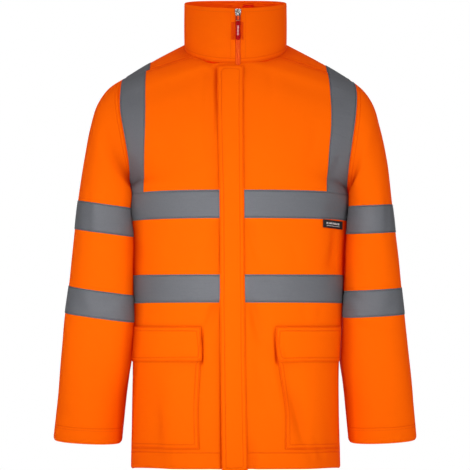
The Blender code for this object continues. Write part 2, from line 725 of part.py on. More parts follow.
def make_storm_flap():
    """Strip over the zip, between its two edges, over the rows of the fronts."""
    rows = []
    for row in panel_rows("front")[:row_index("front", "neck_centre") + 1]:
        height = row["z"] if row["z"] is not None else neck_point(RIGHT, 0)[2]
        free, sewn = (from_table(STORM_FLAP, FLAP_COLUMNS.index(name), height) for name in FLAP_COLUMNS[1:])
        points = []
        for x in np.linspace(free, sewn, STORM_FLAP_STEPS + 1):
            side = RIGHT if x < ZIP_X - ZIP_SLOT / 2 else LEFT
            point_at, angle_at = row_curve(side, row, "front")
            inner = row_ends(side, row, "front")[0]
            on_panel = side * (x - inner[0]) > 0
            points.append(point_at(angle_at(x)) if on_panel else np.array((x, *inner[1:])))
        rows.append(points)
    grid = np.array(rows)
    normal = normals_of(grid, lambda point: (0, -1, 0))
    lift = np.linspace(STORM_FLAP_FREE_LIFT, STORM_FLAP_LIFT, STORM_FLAP_STEPS + 1)
    grid = sunk(grid, normal) + normal * (lift + CLOTH)[None, :, None]
    cloth("storm_flap", [(trimmed(grid, top=STORM_FLAP_GAP), normal)], CLOTH, "orange_cloth")


def make_zip(fronts, collar):
    """Chain in the slot between the fronts, and its tape behind them, up to the slider."""
    last = row_index("front", "neck_centre")
    path = [(fronts[RIGHT][0][i, 0] + fronts[LEFT][0][i, 0]) / 2 for i in range(last)]
    facing = [(fronts[RIGHT][1][i, 0] + fronts[LEFT][1][i, 0]) / 2 for i in range(last)]
    low, high = ((collar[0][i, 0] + collar[0][i, -1]) / 2 for i in (0, -1))
    slider_top = high[2] - SLIDER_DROP
    chain_top = slider_top - WEDGE_HEIGHT - LAY_GAP
    path += [low, low + (high - low) * (chain_top - low[2]) / (high[2] - low[2])]
    facing += [np.array((0, -1, 0))] * 2
    back = -(COLLAR_CLOTH + LAY_GAP)
    edge = back - ZIP_TAPE_CURL
    half_chain, half_tape = CHAIN_WIDTH / 2, ZIP_TAPE_WIDTH / 2
    outline = [(-half_tape, edge - ZIP_TAPE), (0, back - ZIP_TAPE), (half_tape, edge - ZIP_TAPE),
               (half_tape, edge), (half_chain, back), (half_chain, -CHAIN_RECESS),
               (-half_chain, -CHAIN_RECESS), (-half_chain, back), (-half_tape, edge)]
    bm = bmesh.new()
    rings = []
    for point, out in zip(path, facing):
        out = np.array((0, out[1], out[2])) / np.linalg.norm(out[1:])
        rings.append([bm.verts.new((point + (x, 0, 0) + out * depth) * MM) for x, depth in outline])
    for low_ring, high_ring in zip(rings, rings[1:]):
        for j in range(len(outline)):
            k = (j + 1) % len(outline)
            bm.faces.new((low_ring[j], low_ring[k], high_ring[k], high_ring[j]))
    bm.faces.new(rings[0][::-1])
    bm.faces.new(rings[-1])
    bmesh.ops.recalc_face_normals(bm, faces=bm.faces)
    new_object("zip_chain", bm, "zip_tape")
    return slider_top, high[1]


def make_slider(top, skin_y):
    """Slider at the top of the zip: front plate, wedge, back plate and the bridge of the pull."""
    plate_back = skin_y - LAY_GAP
    plate_front = plate_back - SLIDER_PLATE
    bottom = top - SLIDER_HEIGHT
    half = SLIDER_WIDTH / 2
    behind = skin_y + COLLAR_CLOTH + 2 * LAY_GAP + ZIP_TAPE + ZIP_TAPE_CURL
    slider = box("zip_slider", (ZIP_X - half, plate_front, bottom), (ZIP_X + half, plate_back, top), "nickel")
    wedge = box("slider_wedge", (ZIP_X - WEDGE_WIDTH / 2, plate_front + LAY_GAP, top - WEDGE_HEIGHT),
                (ZIP_X + WEDGE_WIDTH / 2, behind + LAY_GAP, top - LAY_GAP), "nickel", "cutters")
    rear = box("slider_rear", (ZIP_X - half, behind, bottom), (ZIP_X + half, behind + SLIDER_PLATE, top),
               "nickel", "cutters")
    pivot_y = plate_front - PULL_CLEARANCE - PULL_WIRE
    bridge_y = pivot_y - PULL_WIRE - PULL_CLEARANCE - BRIDGE_WIRE
    foot, head = bottom + BRIDGE_WIRE, top - BRIDGE_WIRE - LAY_GAP
    sunk_y = plate_front + BRIDGE_WIRE / 2
    corner = BRIDGE_WIRE
    bridge = wire("slider_bridge", [(ZIP_X, sunk_y, foot), (ZIP_X, bridge_y + corner, foot),
                                    (ZIP_X, bridge_y, foot + corner), (ZIP_X, bridge_y, head - corner),
                                    (ZIP_X, bridge_y + corner, head), (ZIP_X, sunk_y, head)],
                  BRIDGE_WIRE, False, "nickel", "cutters")
    join(slider, (wedge, rear, bridge))
    pivot_z = foot + BRIDGE_WIRE + PULL_CLEARANCE + PULL_WIRE
    return np.array((ZIP_X, pivot_y, pivot_z))


def make_pull(pivot):
    """Wire link through the slider's bridge, and the grip that hangs below it."""
    hinge = bpy.data.objects.new("pull_hinge", None)
    hinge.location = pivot * MM
    bpy.data.collections["jacket"].objects.link(hinge)
    half, corner = PULL_LINK_WIDTH / 2 - PULL_WIRE, PULL_WIRE
    drop = PULL_LINK_LENGTH
    outline = ((-half + corner, 0), (half - corner, 0), (half, -corner), (half, corner - drop),
               (half - corner, -drop), (corner - half, -drop), (-half, corner - drop), (-half, -corner))
    link = wire("pull_link", [(x, 0, z) for x, z in outline], PULL_WIRE, True, "nickel")
    top = -drop - PULL_WIRE - LAY_GAP
    grip = box("pull_grip", (-PULL_GRIP_WIDTH / 2, -PULL_GRIP_DEPTH / 2, top - PULL_GRIP_LENGTH),
               (PULL_GRIP_WIDTH / 2, PULL_GRIP_DEPTH / 2, top), "red_rubber")
    edge = grip.modifiers.new("edge", "BEVEL")
    edge.width = PULL_GRIP_EDGE * MM
    edge.segments = 2
    for piece in (link, grip):
        piece.parent = hinge


def main():
    for obj in list(bpy.data.objects):
        bpy.data.objects.remove(obj, do_unlink=True)
    for name in ("jacket", "cutters"):
        collection = bpy.data.collections.new(name)
        bpy.context.scene.collection.children.link(collection)
    fronts = {side: panel(side, "front") for side in (RIGHT, LEFT)}
    backs = {side: panel(side, "back") for side in (RIGHT, LEFT)}
    collar = collar_surface()
    make_panels(fronts, backs)
    make_bands(fronts, backs)
    make_pockets(fronts)
    make_sleeves()
    make_collar(*collar)
    make_chest_tag(fronts[LEFT])
    make_storm_flap()
    slider_top, skin_y = make_zip(fronts, collar)
    make_pull(make_slider(slider_top, skin_y))


main()
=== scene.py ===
"""Looks of the hi-vis work jacket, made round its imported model, for Blender 4.5.

The front faces -Y and +Z is up.  "Right" and "left" are the wearer's, so the right side is at
-X.  Sizes and tables are in millimetres and meshes are made in metres.

Each piece of cloth is a thin shell on a smooth surface.  The surfaces of the fronts, the back,
the sleeves and the collar run through the rows that their solids are made of; folds and
puckers are pressed into them, hems are turned up, and tape, pockets and flaps are laid on them.
"""
import json
import math

import bmesh
import bpy
import numpy as np
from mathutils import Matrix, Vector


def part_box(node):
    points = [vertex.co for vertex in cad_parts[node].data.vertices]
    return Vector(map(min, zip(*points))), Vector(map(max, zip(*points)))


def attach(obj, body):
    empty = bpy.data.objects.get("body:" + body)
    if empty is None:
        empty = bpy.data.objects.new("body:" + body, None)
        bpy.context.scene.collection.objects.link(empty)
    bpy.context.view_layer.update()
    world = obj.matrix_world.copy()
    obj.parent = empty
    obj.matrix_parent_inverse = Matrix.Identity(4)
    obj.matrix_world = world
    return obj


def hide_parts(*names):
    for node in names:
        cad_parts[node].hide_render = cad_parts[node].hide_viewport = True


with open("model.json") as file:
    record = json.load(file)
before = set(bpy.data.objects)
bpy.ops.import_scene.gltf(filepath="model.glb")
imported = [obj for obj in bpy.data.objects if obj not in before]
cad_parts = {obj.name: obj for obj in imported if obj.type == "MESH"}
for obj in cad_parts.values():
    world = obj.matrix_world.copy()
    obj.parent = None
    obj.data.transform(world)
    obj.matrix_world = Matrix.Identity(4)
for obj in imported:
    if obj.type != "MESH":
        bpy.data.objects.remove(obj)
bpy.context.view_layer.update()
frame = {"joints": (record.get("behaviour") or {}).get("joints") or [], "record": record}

MM = 0.001
RIGHT, LEFT = -1, 1
SIDE_NAME = {RIGHT: "right", LEFT: "left"}

# Cloth: spacing of the grid, thickness of the shell, and spacing of the stitch rows from a seam.
SPACING = 4.0
SHELL = 1.0
TOPSTITCHES = (2.0, 8.0)
# Seams: radius of the rolled edge, how far it goes in, and the gap that is left.
SEAM_ROLL = 0.9
SEAM_TUCK = 4.0
SEAM_GAP = 0.05
# Hems: radius of the fold, and depth of the body's and the cuffs' in millimetres and in rows.
HEM_ROLL = 1.0
BODY_HEM, CUFF_HEM = 32.0, 27.0
BODY_HEM_ROWS, CUFF_HEM_ROWS = round(BODY_HEM / SPACING), round(CUFF_HEM / SPACING)
# Which added row lies outermost: counted from the end at a seam, or after a hem's own rows.
SEAM_CREST, HEM_CREST = 4, 3
# Distance that is noted where a piece has no such edge.
NO_EDGE = 999.0

# Reflective tape: width, which is more at the foot of the left front's shoulder tape, where the
# cloth turns back; thickness, rounding of its edges, spacing and columns of its grid, lift at its
# edges and over its middle, how far its outer edge is drawn in, and how far in it is sewn.
TAPE_WIDTH = 50.0
FRONT_TAPE_WIDTH = {RIGHT: 50.0, LEFT: 80.0}
TAPE_SHELL = 0.5
TAPE_EDGE = 0.16
TAPE_SPACING = 3.5
SHOULDER_TAPE_COLUMNS = 15
TAPE_LIFTS = (0.62, 0.95)
TAPE_INSET = 1.12
TAPE_STITCH = 2.2

# Zip: its place, the gap between the fronts, and its tapes as (distance from the middle, depth).
ZIP_X = 4.5
ZIP_SLOT = 9.6
ZIP_HALF_SECTION = ((9.6, -4.9), (6.0, -4.0), (4.3, -3.4), (4.05, -1.1), (3.5, -0.75),
                    (2.0, -0.62), (0.55, -0.6), (0.2, -0.95))
ZIP_BELOW_SLIDER_TOP = 3.4
# Collar, which starts a little below the neck seam, so that no light gets through there.
COLLAR_ROLL = 1.2
NECK_HALF_WIDTH = 94.0
NECK_FRONT = 90.0
NECK_BACK = 76.0
NECK_SEAM_MID, NECK_SEAM_TILT = -5.0, 35.0
COLLAR_TOP_BACK = 73.0
COLLAR_TOP_MID, COLLAR_TOP_TILT, COLLAR_TOP_RISE = 75.5, 16.5, 3.0
COLLAR_SINK = 0.4
SHOULDER_SEAM_AT_NECK = 58.0
SHOULDER_SEAM_AT_SLEEVE = 14.0
COLLAR_ROWS = (0.0, 0.33, 0.67, 1.0)

# Body section by height: half width on each side, front and back depth, squareness.
SECTION_COLUMNS = ("z", "right", "left", "front", "back", "power")
BODY_SECTIONS = (
    (-775, 192.0, 192.5, 150, 142, 2.6),
    (-700, 190.5, 190.5, 149, 142, 2.6),
    (-600, 188.5, 189.0, 148, 141, 2.6),
    (-520, 189.0, 193.5, 147, 140, 2.6),
    (-440, 191.0, 197.0, 146, 138, 2.55),
    (-350, 195.0, 202.0, 145, 137, 2.5),
    (-272, 204.0, 208.0, 143, 136, 2.5),
    (-200, 204.0, 210.0, 138, 136, 2.45),
    (-120, 204.0, 212.0, 122, 126, 2.4),
    (-75, 204.0, 213.0, 107, 113, 2.3),
    (-38, 204.0, 214.0, 90, 99, 2.2),
    (18, 204.0, 214.0, 78, 76, 2.2),
)

# Rows of the panels below the armhole: height on the centre line and at each side seam.
LOWER_ROWS = (
    ("hem", -761.5, -778, -777),
    ("pocket_bottom", -726, -742, -742),
    ("pocket_middle", -652, -664, -664),
    ("flap_bottom", -571, -581, -581),
    ("flap_top", -509, -515.5, -515.5),
    ("waist_bottom", -467, -475, -474),
    ("waist_top", -417.5, -423, -422),
    ("ribs", -368, -375, -373),
    ("chest_bottom", -318, -327, -324),
    ("chest_top", -268, -279, -277),
)
# Rows above: height on the centre line, or angle round the neck seam; angle round the
# armhole (0 top, 90 front, 180 underarm, 270 back); how far the row turns; rise at its middle.
UPPER_COLUMNS = ("name", "z", "neck", "armhole", "turn", "rise")
FRONT_UPPER_ROWS = (
    ("underarm", -250, None, 180, 88, 0),
    ("scye_low", -222, None, 159, 72, 0),
    ("scye", -190, None, 137, 58, 0),
    ("scye_mid", -155, None, 115, 48, 0),
    ("scye_high", -115, None, 93, 42, 0),
    ("yoke", -75, None, 73, 38, 0),
    ("neck_centre", None, 0, 55, 36, 0),
    ("neck_front", None, 22, 41, 34, 0),
    ("neck_side", None, 40, 27, 32, 0),
    ("shoulder_seam", None, SHOULDER_SEAM_AT_NECK, SHOULDER_SEAM_AT_SLEEVE, 30, 1),
)
BACK_UPPER_ROWS = (
    ("underarm", -250, None, 180, 88, 0),
    ("scye_low", -222, None, 201, 72, 0),
    ("scye", -188, None, 223, 58, 0),
    ("scye_mid", -148, None, 245, 48, 0),
    ("scye_high", -100, None, 267, 42, 0),
    ("blade", -45, None, 287, 38, 0),
    ("neck_back", None, 180, 304, 36, 1),
    ("neck_back_side", None, 150, 319, 34, 3),
    ("shoulder_back", None, 125, 333, 32, 5),
    ("shoulder_top", None, 105, 346, 30, 6),
    ("shoulder_ridge", None, 87, 360, 30, 6),
    ("shoulder_front", None, 72, 367, 30, 4),
    ("shoulder_seam", None, SHOULDER_SEAM_AT_NECK, 360 + SHOULDER_SEAM_AT_SLEEVE, 30, 1),
)
BANDS = {"chest": ("chest_bottom", "chest_top"), "waist": ("waist_bottom", "waist_top")}

# How far the armhole's front bows out and twists, and its back bows out.
ARMHOLES = {
    RIGHT: dict(bow=-3.5, twist=10, back_bow=-9),
    LEFT: dict(bow=1, twist=6, back_bow=-9),
}
# How far the sleeves stand off the body's sides, and below which height.
SLEEVE_CLEARANCE = 3.6
SLEEVE_CLEAR_BELOW = {RIGHT: -268.0, LEFT: -215.0}
# How far each sleeve hangs forward over its seam at the front of the armpit, by section, and at
# which angle round the section, over what width.
SLEEVE_LAPS = {RIGHT: {"cap": 18.0, "crown": 18.0, "head": 17.0, "biceps": 9.0},
               LEFT: {"cap": 4.0, "crown": 7.0, "head": 6.0, "biceps": 2.0}}
SLEEVE_LAP_AT, SLEEVE_LAP_WIDTH = 141.0, 32.0
SLEEVE_POINTS_ROUND = 48

# Sleeve sections: outermost and innermost points, depth centre, half depth, squareness, and
# the share of the armhole's bow that is left.
SLEEVE_COLUMNS = ("name", "out_x", "out_z", "in_x", "in_z", "y", "depth", "power", "bow")
SLEEVES = {
    RIGHT: (
        ("armhole", 204, -61.5, 204, -272, 0, 85, 2.0, 1.0),
        ("cap", 230, -78.5, 217, -274, -2, 87, 2.0, 0.7),
        ("crown", 250, -107, 209, -279, -5, 90, 2.3, 0.45),
        ("head", 263, -148, 197, -286, -9, 91, 2.5, 0.3),
        ("biceps", 274.5, -204, 184, -292, -13, 90, 2.35, 0.2),
        ("upper_top", 287, -285, 177, -301, -16, 86, 2.5, 0.1),
        ("upper_middle", 290.3, -311, 175.3, -327, -17, 85, 2.55, 0.05),
        ("upper_bottom", 293, -337, 174, -353, -18, 84, 2.6, 0.0),
        ("elbow", 298.5, -388, 173, -406, -18, 81, 2.6, 0.0),
        ("lower_top", 304, -440, 173, -458, -18, 78, 2.6, 0.0),
        ("lower_bottom", 310.5, -489, 176, -507, -19, 75, 2.9, 0.0),
        ("forearm", 317.5, -562, 185, -577, -17, 71, 2.8, 0.0),
        ("wrist", 325, -640, 200, -646, -10, 66, 2.3, 0.0),
        ("cuff", 334.3, -723, 208.5, -729.5, -8, 61, 2.2, 0.0),
    ),
    LEFT: (
        ("armhole", 214.5, -67, 207.5, -272, 0, 85, 2.0, 1.0),
        ("cap", 233, -82, 218, -274, 1, 87, 2.0, 0.7),
        ("crown", 250, -106, 216, -279, 3, 89, 2.1, 0.45),
        ("head", 263.5, -147, 206, -285, 5, 89, 2.2, 0.3),
        ("biceps", 276.5, -204, 199, -289, 7, 88, 2.3, 0.25),
        ("upper_top", 288, -292, 195, -296, 9, 85, 2.4, 0.1),
        ("upper_middle", 291.5, -317.5, 193.5, -321.5, 9.5, 84, 2.4, 0.05),
        ("upper_bottom", 294.5, -343, 192, -347, 10, 83, 2.4, 0.0),
        ("elbow", 300.5, -392, 189, -397, 10, 80, 2.4, 0.0),
        ("lower_top", 305.5, -444, 187, -450, 9, 77, 2.4, 0.0),
        ("lower_bottom", 311, -493, 187, -499, 8, 74, 2.4, 0.0),
        ("forearm", 317.5, -562, 188, -573, 5, 70, 2.4, 0.0),
        ("wrist", 325.5, -640, 200, -644, 1, 65, 2.3, 0.0),
        ("cuff", 333, -723, 208, -729, -2, 60, 2.2, 0.0),
    ),
}
SLEEVE_BANDS = {"upper": ("upper_top", "upper_bottom"), "lower": ("lower_top", "lower_bottom")}

# Inner edge of the shoulder tapes, as a distance from the middle, by height.
TAPE_LINE_COLUMNS = ("z", "front_right", "front_left", "back_right", "back_left")
TAPE_LINE = (
    (-300, 165, 161.5, 162, 163),
    (-200, 163.5, 166.5, 160, 166),
    (-120, 161.5, 171.5, 158, 170),
    (-62, 162.5, 169.5, 156, 168),
    (-30, 162.5, 165.5, 156, 165),
)
# Inner edge of the pockets and their flaps, by height.
POCKET_LINE = {
    RIGHT: ((-800, 63.5), (-726, 63.5), (-600, 63.5), (-571, 61.0), (-509, 60.5), (-400, 60.5)),
    LEFT: ((-800, 90.0), (-726, 87.7), (-600, 81.5), (-571, 75.8), (-509, 70.6), (-400, 66.0)),
}
# Columns of a panel: shares of the way to the tape and steps between them, then round the side.
PANEL_SPLIT = 0.4
INNER_STEPS, MIDDLE_STEPS = 3, 4
BEND_STEPS = (0.3, 0.6, 0.8, 1.0)
SLOPE_ROWS = 6
TAPE_COLUMN = INNER_STEPS + MIDDLE_STEPS
POCKET_COLUMNS = (INNER_STEPS, TAPE_COLUMN + 2)

# Storm flap: its free edge and its sewn edge, by height.
FLAP_COLUMNS = ("z", "free_x", "sewn_x")
STORM_FLAP = (
    (-775, -24.2, 22.0),
    (-470, -27.5, 17.0),
    (-270, -28.5, 15.5),
    (-150, -31.0, 14.5),
    (-39, -32.0, 14.5),
)
FLAP_TOP = -46.0
# Rows of red thread beside the pull, whose dark red also paints the pull's shadow there: between
# which heights they run, and how far in from the collar's right and left edge.
PULL_TACKS_AND_SHADOW = (1.0, 36.0)
PULL_TACK_AND_SHADOW_ROWS = {"first_column": (2.6, 4.4, 6.4), "last_column": (2.0, 3.8)}
# How far the lower inner corner of each pocket flap slants towards the side, in columns.
FLAP_SLANT = {RIGHT: 0.10, LEFT: 0.20}
# Where the fronts fall in beside the pockets: how far, from which height, over what height,
# from which distance from the middle, and over what width; and how deep the fade at the side is.
SIDE_FALLS = {RIGHT: (15.0, -582, 120.0, 108.0, 62.0), LEFT: (12.0, -600, 130.0, 124.0, 54.0)}
SIDE_FALL_FADE = 70.0

# How far the pockets, their flaps and the storm flap stand off the cloth, how far the pockets are
# filled, and how much the flaps' corners are rounded.
POCKET_LIFT, FLAP_LIFT, STORM_LIFT = 1.25, 4.15, 4.5
POCKET_BULGE = 2.6
FLAP_CORNER = 0.9

# Tags: sizes and places, and the lengths of the chest tag's bars as shares of its width.
TAG_SIZE = (37.0, 14.5)
TAG_CORNER = (155.5, -319.8)
TAG_LEAN = 4.0
TAG_MARGIN = 0.16
TAG_BARS = (0.07, 0.05, 0.09, 0.06, 0.08, 0.05, 0.07)
NECK_TAG_SIZE = (21.0, 30.0)
NECK_TAG_X = 24.5
NECK_TAG_TOP = 84.0
NECK_TAG_DEPTH = 3.75

# Pull: its wire link, and its grip's sections as distance down, share of width, share of depth.
PULL_WIRE = 0.65
PULL_LINK_WIDTH, PULL_LINK_LENGTH = 7.4, 11.2
GRIP_RIBS = 7
GRIP_SECTIONS = (
    (0.0, 0.62, 0.62), (0.6, 0.9, 0.88), (2.0, 1.0, 1.0), (8.0, 0.985, 1.0), (14.0, 0.93, 0.96),
    (20.0, 0.93, 0.96), (26.5, 0.99, 1.0), (30.0, 1.0, 1.0), (32.3, 0.93, 0.9),
    (33.2, 0.74, 0.62), (33.5, 0.5, 0.4),
)

# Folds of the cloth, as seen from the front (or the back): a trough between two points (x, z),
# or a ridge where the depth is negative.  "bow" bends its middle sideways.  A fold fades at both
# ends, or only at its far end where it starts at a seam.  Beside it is a lip, a number of half
# widths away, with a share of its depth.
LIP_AT, LIP_SHARE = 1.7, 0.4
FOLD_COLUMNS = ("x0", "z0", "x1", "z1", "width", "depth", "bow", "fade")
PRESSED_IN = (
    (28, -470, 62, -556, 34, 3.5, 0, "round"),
    (-38, -470, -66, -540, 30, 2.5, 0, "round"),
    (22, -340, 62, -420, 36, 2.5, 0, "round"),
    (96, -585, 126, -700, 36, 4.0, 0, "round"),
    (-52, -60, -36, -240, 40, 4.0, 0, "round"),
    (-150, -620, -140, -790, 44, 4.0, 0, "round"),
    (182, -300, 176, -400, 34, 4.0, 0, "round"),
)
FRONT_CREASES = (
    (-104, -738, -110, -690, 15, 0.9, 2, "far"),
    (-139, -735, -143, -640, 17, 2.6, 2, "both"),
    (80, -580, 124, -742, 22, 5.0, -5, "both"),
    (60, -575, 98, -700, 20, -2.2, 4, "both"),
    (134, -742, 116, -702, 12, 1.9, 2, "far"),
    (152, -744, 141, -696, 13, 2.1, -2, "far"),
    (28.5, -762, 27, -700, 12, 4.6, 1, "far"),
    (36, -762, 44, -716, 13, 1.4, -2, "far"),
    (-44, -762, -50, -706, 15, 1.3, 2, "far"),
    (40, -476, 50, -700, 30, 2.6, 3, "both"),
    (30, -473, 49, -546, 13, 2.9, 3, "far"),
    (-37, -474, -58, -522, 13, 2.7, -2, "far"),
    (-52, -500, -40, -566, 22, -1.2, 3, "both"),
    (26, -334, 49, -410, 12, 1.8, 3, "far"),
    (-34, -332, -52, -396, 18, 1.3, -3, "both"),
    (184, -328, 172, -409, 18, 3.0, -4, "both"),
    (-186, -330, -168, -402, 18, 1.6, 4, "both"),
    (-48, -20, -38, -110, 22, 2.4, -4, "far"),
    (-78, -34, -62, -150, 26, 1.5, 6, "both"),
    (52, -26, 66, -120, 22, 1.3, -5, "far"),
    (88, -60, 74, -180, 28, -1.1, 4, "both"),
    (-140, -150, -112, -236, 26, 1.6, 5, "both"),
    (146, -140, 120, -230, 24, 1.5, -6, "both"),
    (186, -212, 158, -262, 15, 1.9, -3, "far"),
    (-188, -214, -160, -258, 15, 0.7, 3, "far"),
    (112, -412, 96, -352, 20, 1.1, 3, "both"),
    (-108, -340, -122, -408, 22, 1.1, -3, "both"),
    (120, -476, 128, -506, 11, 1.0, 1, "far"),
    (152, -478, 146, -508, 12, 1.1, -1, "far"),
    (-150, -478, -140, -506, 13, 0.9, 1, "far"),
)
# Narrow gaps in the cloth beside the free edges of the flaps, which stand off it.
FLAP_GAPS = (
    (-30.5, -50, -28.2, -190, 13, 6.5, 0, "far"),
    (-28.2, -44, -26.4, -262, 5.5, 4.0, 0, "both"),
    (-25.6, -334, -24.8, -412, 5.0, 3.4, 0, "both"),
    (-22.8, -760, -24.6, -500, 5.5, 4.6, 0, "far"),
    (-24.4, -474, -25.6, -520, 5.0, 3.0, 0, "far"),
    (-60.2, -572, -60.4, -512, 6.0, 6.0, 0, "far"),
    (75.4, -572, 70.4, -512, 7.0, 6.0, 0, "far"),
)
BACK_CREASES = (
    (60, -30, 92, -170, 34, 2.4, 8, "both"),
    (-70, -34, -96, -182, 36, 2.2, -8, "both"),
    (14, -60, 4, -210, 44, -2.0, 6, "both"),
    (186, -214, 132, -290, 20, 2.2, -6, "far"),
    (-188, -212, -140, -280, 20, 2.0, 6, "far"),
    (196, -322, 150, -392, 22, 1.8, 5, "both"),
    (-196, -330, -158, -404, 24, 1.6, -5, "both"),
    (-30, -318, -48, -418, 30, 1.6, -6, "both"),
    (58, -330, 84, -416, 28, 1.4, 6, "both"),
    (-96, -476, -78, -600, 30, 2.0, 8, "far"),
    (34, -472, 22, -566, 26, 1.6, -5, "far"),
    (128, -474, 152, -590, 32, 2.1, -8, "far"),
    (-150, -620, -144, -766, 34, 2.6, 5, "far"),
    (-60, -766, -52, -660, 26, 1.6, -4, "far"),
    (44, -766, 58, -676, 24, 1.5, 5, "far"),
    (138, -766, 128, -640, 30, 2.2, -6, "far"),
    (0, -560, -12, -700, 40, -1.6, 10, "both"),
)
# Folds of the sleeves: (distance round from the underarm seam, distance down from the armhole).
SLEEVE_CREASES = {
    RIGHT: (
        (40, 40, 96, 96, 20, 2.0, 5, "far"),
        (392, 120, 352, 160, 15, 1.1, -3, "both"),
        (352, 150, 344, 222, 58, -4.5, 0, "round"),
        (330, 118, 338, 214, 15, 1.6, 3, "both"),
        (300, 306, 350, 366, 24, 2.0, 4, "both"),
        (120, 60, 150, 190, 34, 1.4, 8, "both"),
        (60, 288, 110, 322, 17, 1.9, -4, "both"),
        (44, 330, 100, 342, 15, 1.6, 3, "both"),
        (420, 296, 356, 330, 18, 1.7, 4, "both"),
        (396, 352, 330, 366, 15, 1.2, -3, "both"),
        (150, 360, 176, 470, 26, 1.3, -6, "both"),
        (240, 380, 226, 520, 36, -1.2, 8, "both"),
        (90, 618, 100, 560, 16, 1.1, 2, "far"),
        (150, 618, 146, 572, 15, 0.9, -2, "far"),
        (300, 618, 312, 556, 18, 1.0, 3, "far"),
        (30, 470, 64, 560, 22, 1.5, 4, "both"),
    ),
    LEFT: (
        (42, 36, 92, 100, 20, 2.0, -5, "far"),
        (392, 110, 356, 152, 15, 1.1, 3, "both"),
        (340, 140, 334, 220, 58, -4.5, 0, "round"),
        (318, 120, 326, 210, 15, 1.6, -3, "both"),
        (300, 300, 344, 360, 24, 1.8, -4, "both"),
        (128, 70, 152, 180, 32, 1.3, -8, "both"),
        (52, 292, 112, 316, 16, 1.8, 4, "both"),
        (40, 336, 96, 350, 16, 1.7, -3, "both"),
        (424, 290, 366, 322, 18, 1.7, -4, "both"),
        (400, 346, 340, 372, 16, 1.3, 3, "both"),
        (158, 372, 172, 480, 26, 1.3, 6, "both"),
        (236, 360, 250, 500, 36, -1.2, -8, "both"),
        (84, 618, 96, 566, 16, 1.1, -2, "far"),
        (140, 618, 150, 560, 15, 1.0, 2, "far"),
        (320, 618, 310, 570, 18, 1.0, -3, "far"),
        (24, 460, 60, 552, 22, 1.5, -4, "both"),
    ),
}
# Rows of small puckers: height or distance of the stitching, reach, depth.
BODY_PUCKERS = ((-728, 13, 0.55), (-467, 9, 0.35), (-418, 9, 0.22), (-318, 9, 0.25),
                (-268, 9, 0.18))
CUFF_PUCKER = (624, 12, 0.5)
PUCKER_WAVES = (15.0, 21.0, 33.0)
# Mean radius of the body, for lengths round it.
BODY_RADIUS = 170.0
# How far stitching on the body falls towards the side seams, at which distance from the middle.
ROW_FALL, ROW_FALL_AT = 15.0, 192.0
# How far hems round over to the inside, within what distance of the edge.
HEM_CURL, HEM_CURL_REACH = 3.2, 6.5
# Points of a surface that are worked out between two rows or columns of its grid.
SAMPLES = 16

# Rows of thread: lines, slot, material, then pitch, length, rise, depth sunk and radius of the
# thread, and the angle that it is turned by.
THREAD_SIZES = ("Pitch", "Length", "Rise", "Sink", "Thread", "Turn")
THREADS = {
    "stitches_orange": ("orange", "orange_cloth", "orange_thread", (3.0, 2.5, 0.18, 0.15, 0.24), 0),
    "stitches_grey": ("grey", "reflective_tape", "grey_thread", (3.0, 2.5, 0.16, 0.14, 0.22), 0),
    "stitches_dark": ("dark", "black_tag", "dark_thread", (2.0, 1.6, 0.12, 0.1, 0.16), 0),
    "zip_coil": ("coil", "zip_tape", "coil_thread", (1.7, 2.3, 0.22, 0.2, 0.4), 80),
}

# Kinds of plain finish: shader values, sizes of the broad and the fine mottle, which of them tones
# the colour, roughness as (mottle, share, base), and the grain's depth and strength.
FINISH_KINDS = {
    "plated": ({"Metallic": 1.0}, (240.0, 1500.0), "Broad", ("Broad", 0.3, 0.08), (0.08, 0.35)),
    "rubber": ({"Specular IOR Level": 0.06}, (60.0, 1800.0), "Broad", ("Fine", 0.2, 0.5),
               (0.07, 0.5)),
    "smooth_rubber": ({"Specular IOR Level": 0.06}, (60.0, 1800.0), "Broad", ("Fine", 0.2, 0.4),
                      (0.07, 0.5)),
    "thread": ({"Specular IOR Level": 0.08}, (40.0, 2400.0), "Fine", ("Broad", 0.2, 0.5),
               (0.05, 0.6)),
}
# Plain finishes: kind, light and deep colour, and colour of the glow.
PLAIN_FINISHES = {
    "nickel": ("plated", (0.62, 0.61, 0.59), (0.24, 0.22, 0.20)),
    "worn_nickel": ("plated", (0.20, 0.15, 0.12), (0.12, 0.08, 0.06)),
    "red_rubber": ("rubber", (0.46, 0.0004, 0.003), (0.30, 0.0003, 0.003)),
    "pale_rubber": ("smooth_rubber", (0.86, 0.50, 0.52), (0.72, 0.36, 0.38)),
    "orange_thread": ("thread", (0.60, 0.100, 0.001), (0.50, 0.078, 0.0008), (1.0, 0.01, 0.0)),
    "grey_thread": ("thread", (0.22, 0.22, 0.24), (0.14, 0.14, 0.15)),
    "dark_thread": ("thread", (0.03, 0.028, 0.028), (0.018, 0.017, 0.017)),
    "pale_thread": ("thread", (0.62, 0.60, 0.58), (0.48, 0.46, 0.45)),
    "coil_thread": ("thread", (0.44, 0.012, 0.003), (0.30, 0.006, 0.002), (1.0, 0.0, 0.0)),
}
# How far, in metres, cloth looks for other cloth that keeps light from it, for its painted shade in
# gaps.
GAP_SHADE_REACH = 0.03

# Surroundings, in metres.  Lights: place, aim, size, power, and spread in degrees.
WORLD_BASE, WORLD_UP = 0.24, 0.06
FLOOR_RADIUS, FLOOR_Z = 4.2, -1.45
LIGHTS = {
    "key_light": ((-0.35, -2.3, -0.42), (0.0, 0.0, -0.42), (0.8, 0.6), 3.5, 45.0),
    "right_light": ((-2.3, -1.3, -0.5), (0.0, 0.0, -0.35), (1.3, 1.6), 6.5, 180.0),
    "left_light": ((2.3, -1.4, -0.5), (0.0, 0.0, -0.35), (1.3, 1.6), 12.0, 180.0),
    "top_light": ((0.0, -0.3, 2.1), (0.0, 0.0, -0.1), (2.8, 0.6), 10.0, 180.0),
    "back_light": ((0.5, 3.0, -0.3), (0.0, 0.0, -0.38), (1.6, 1.6), 40.0, 180.0),
}


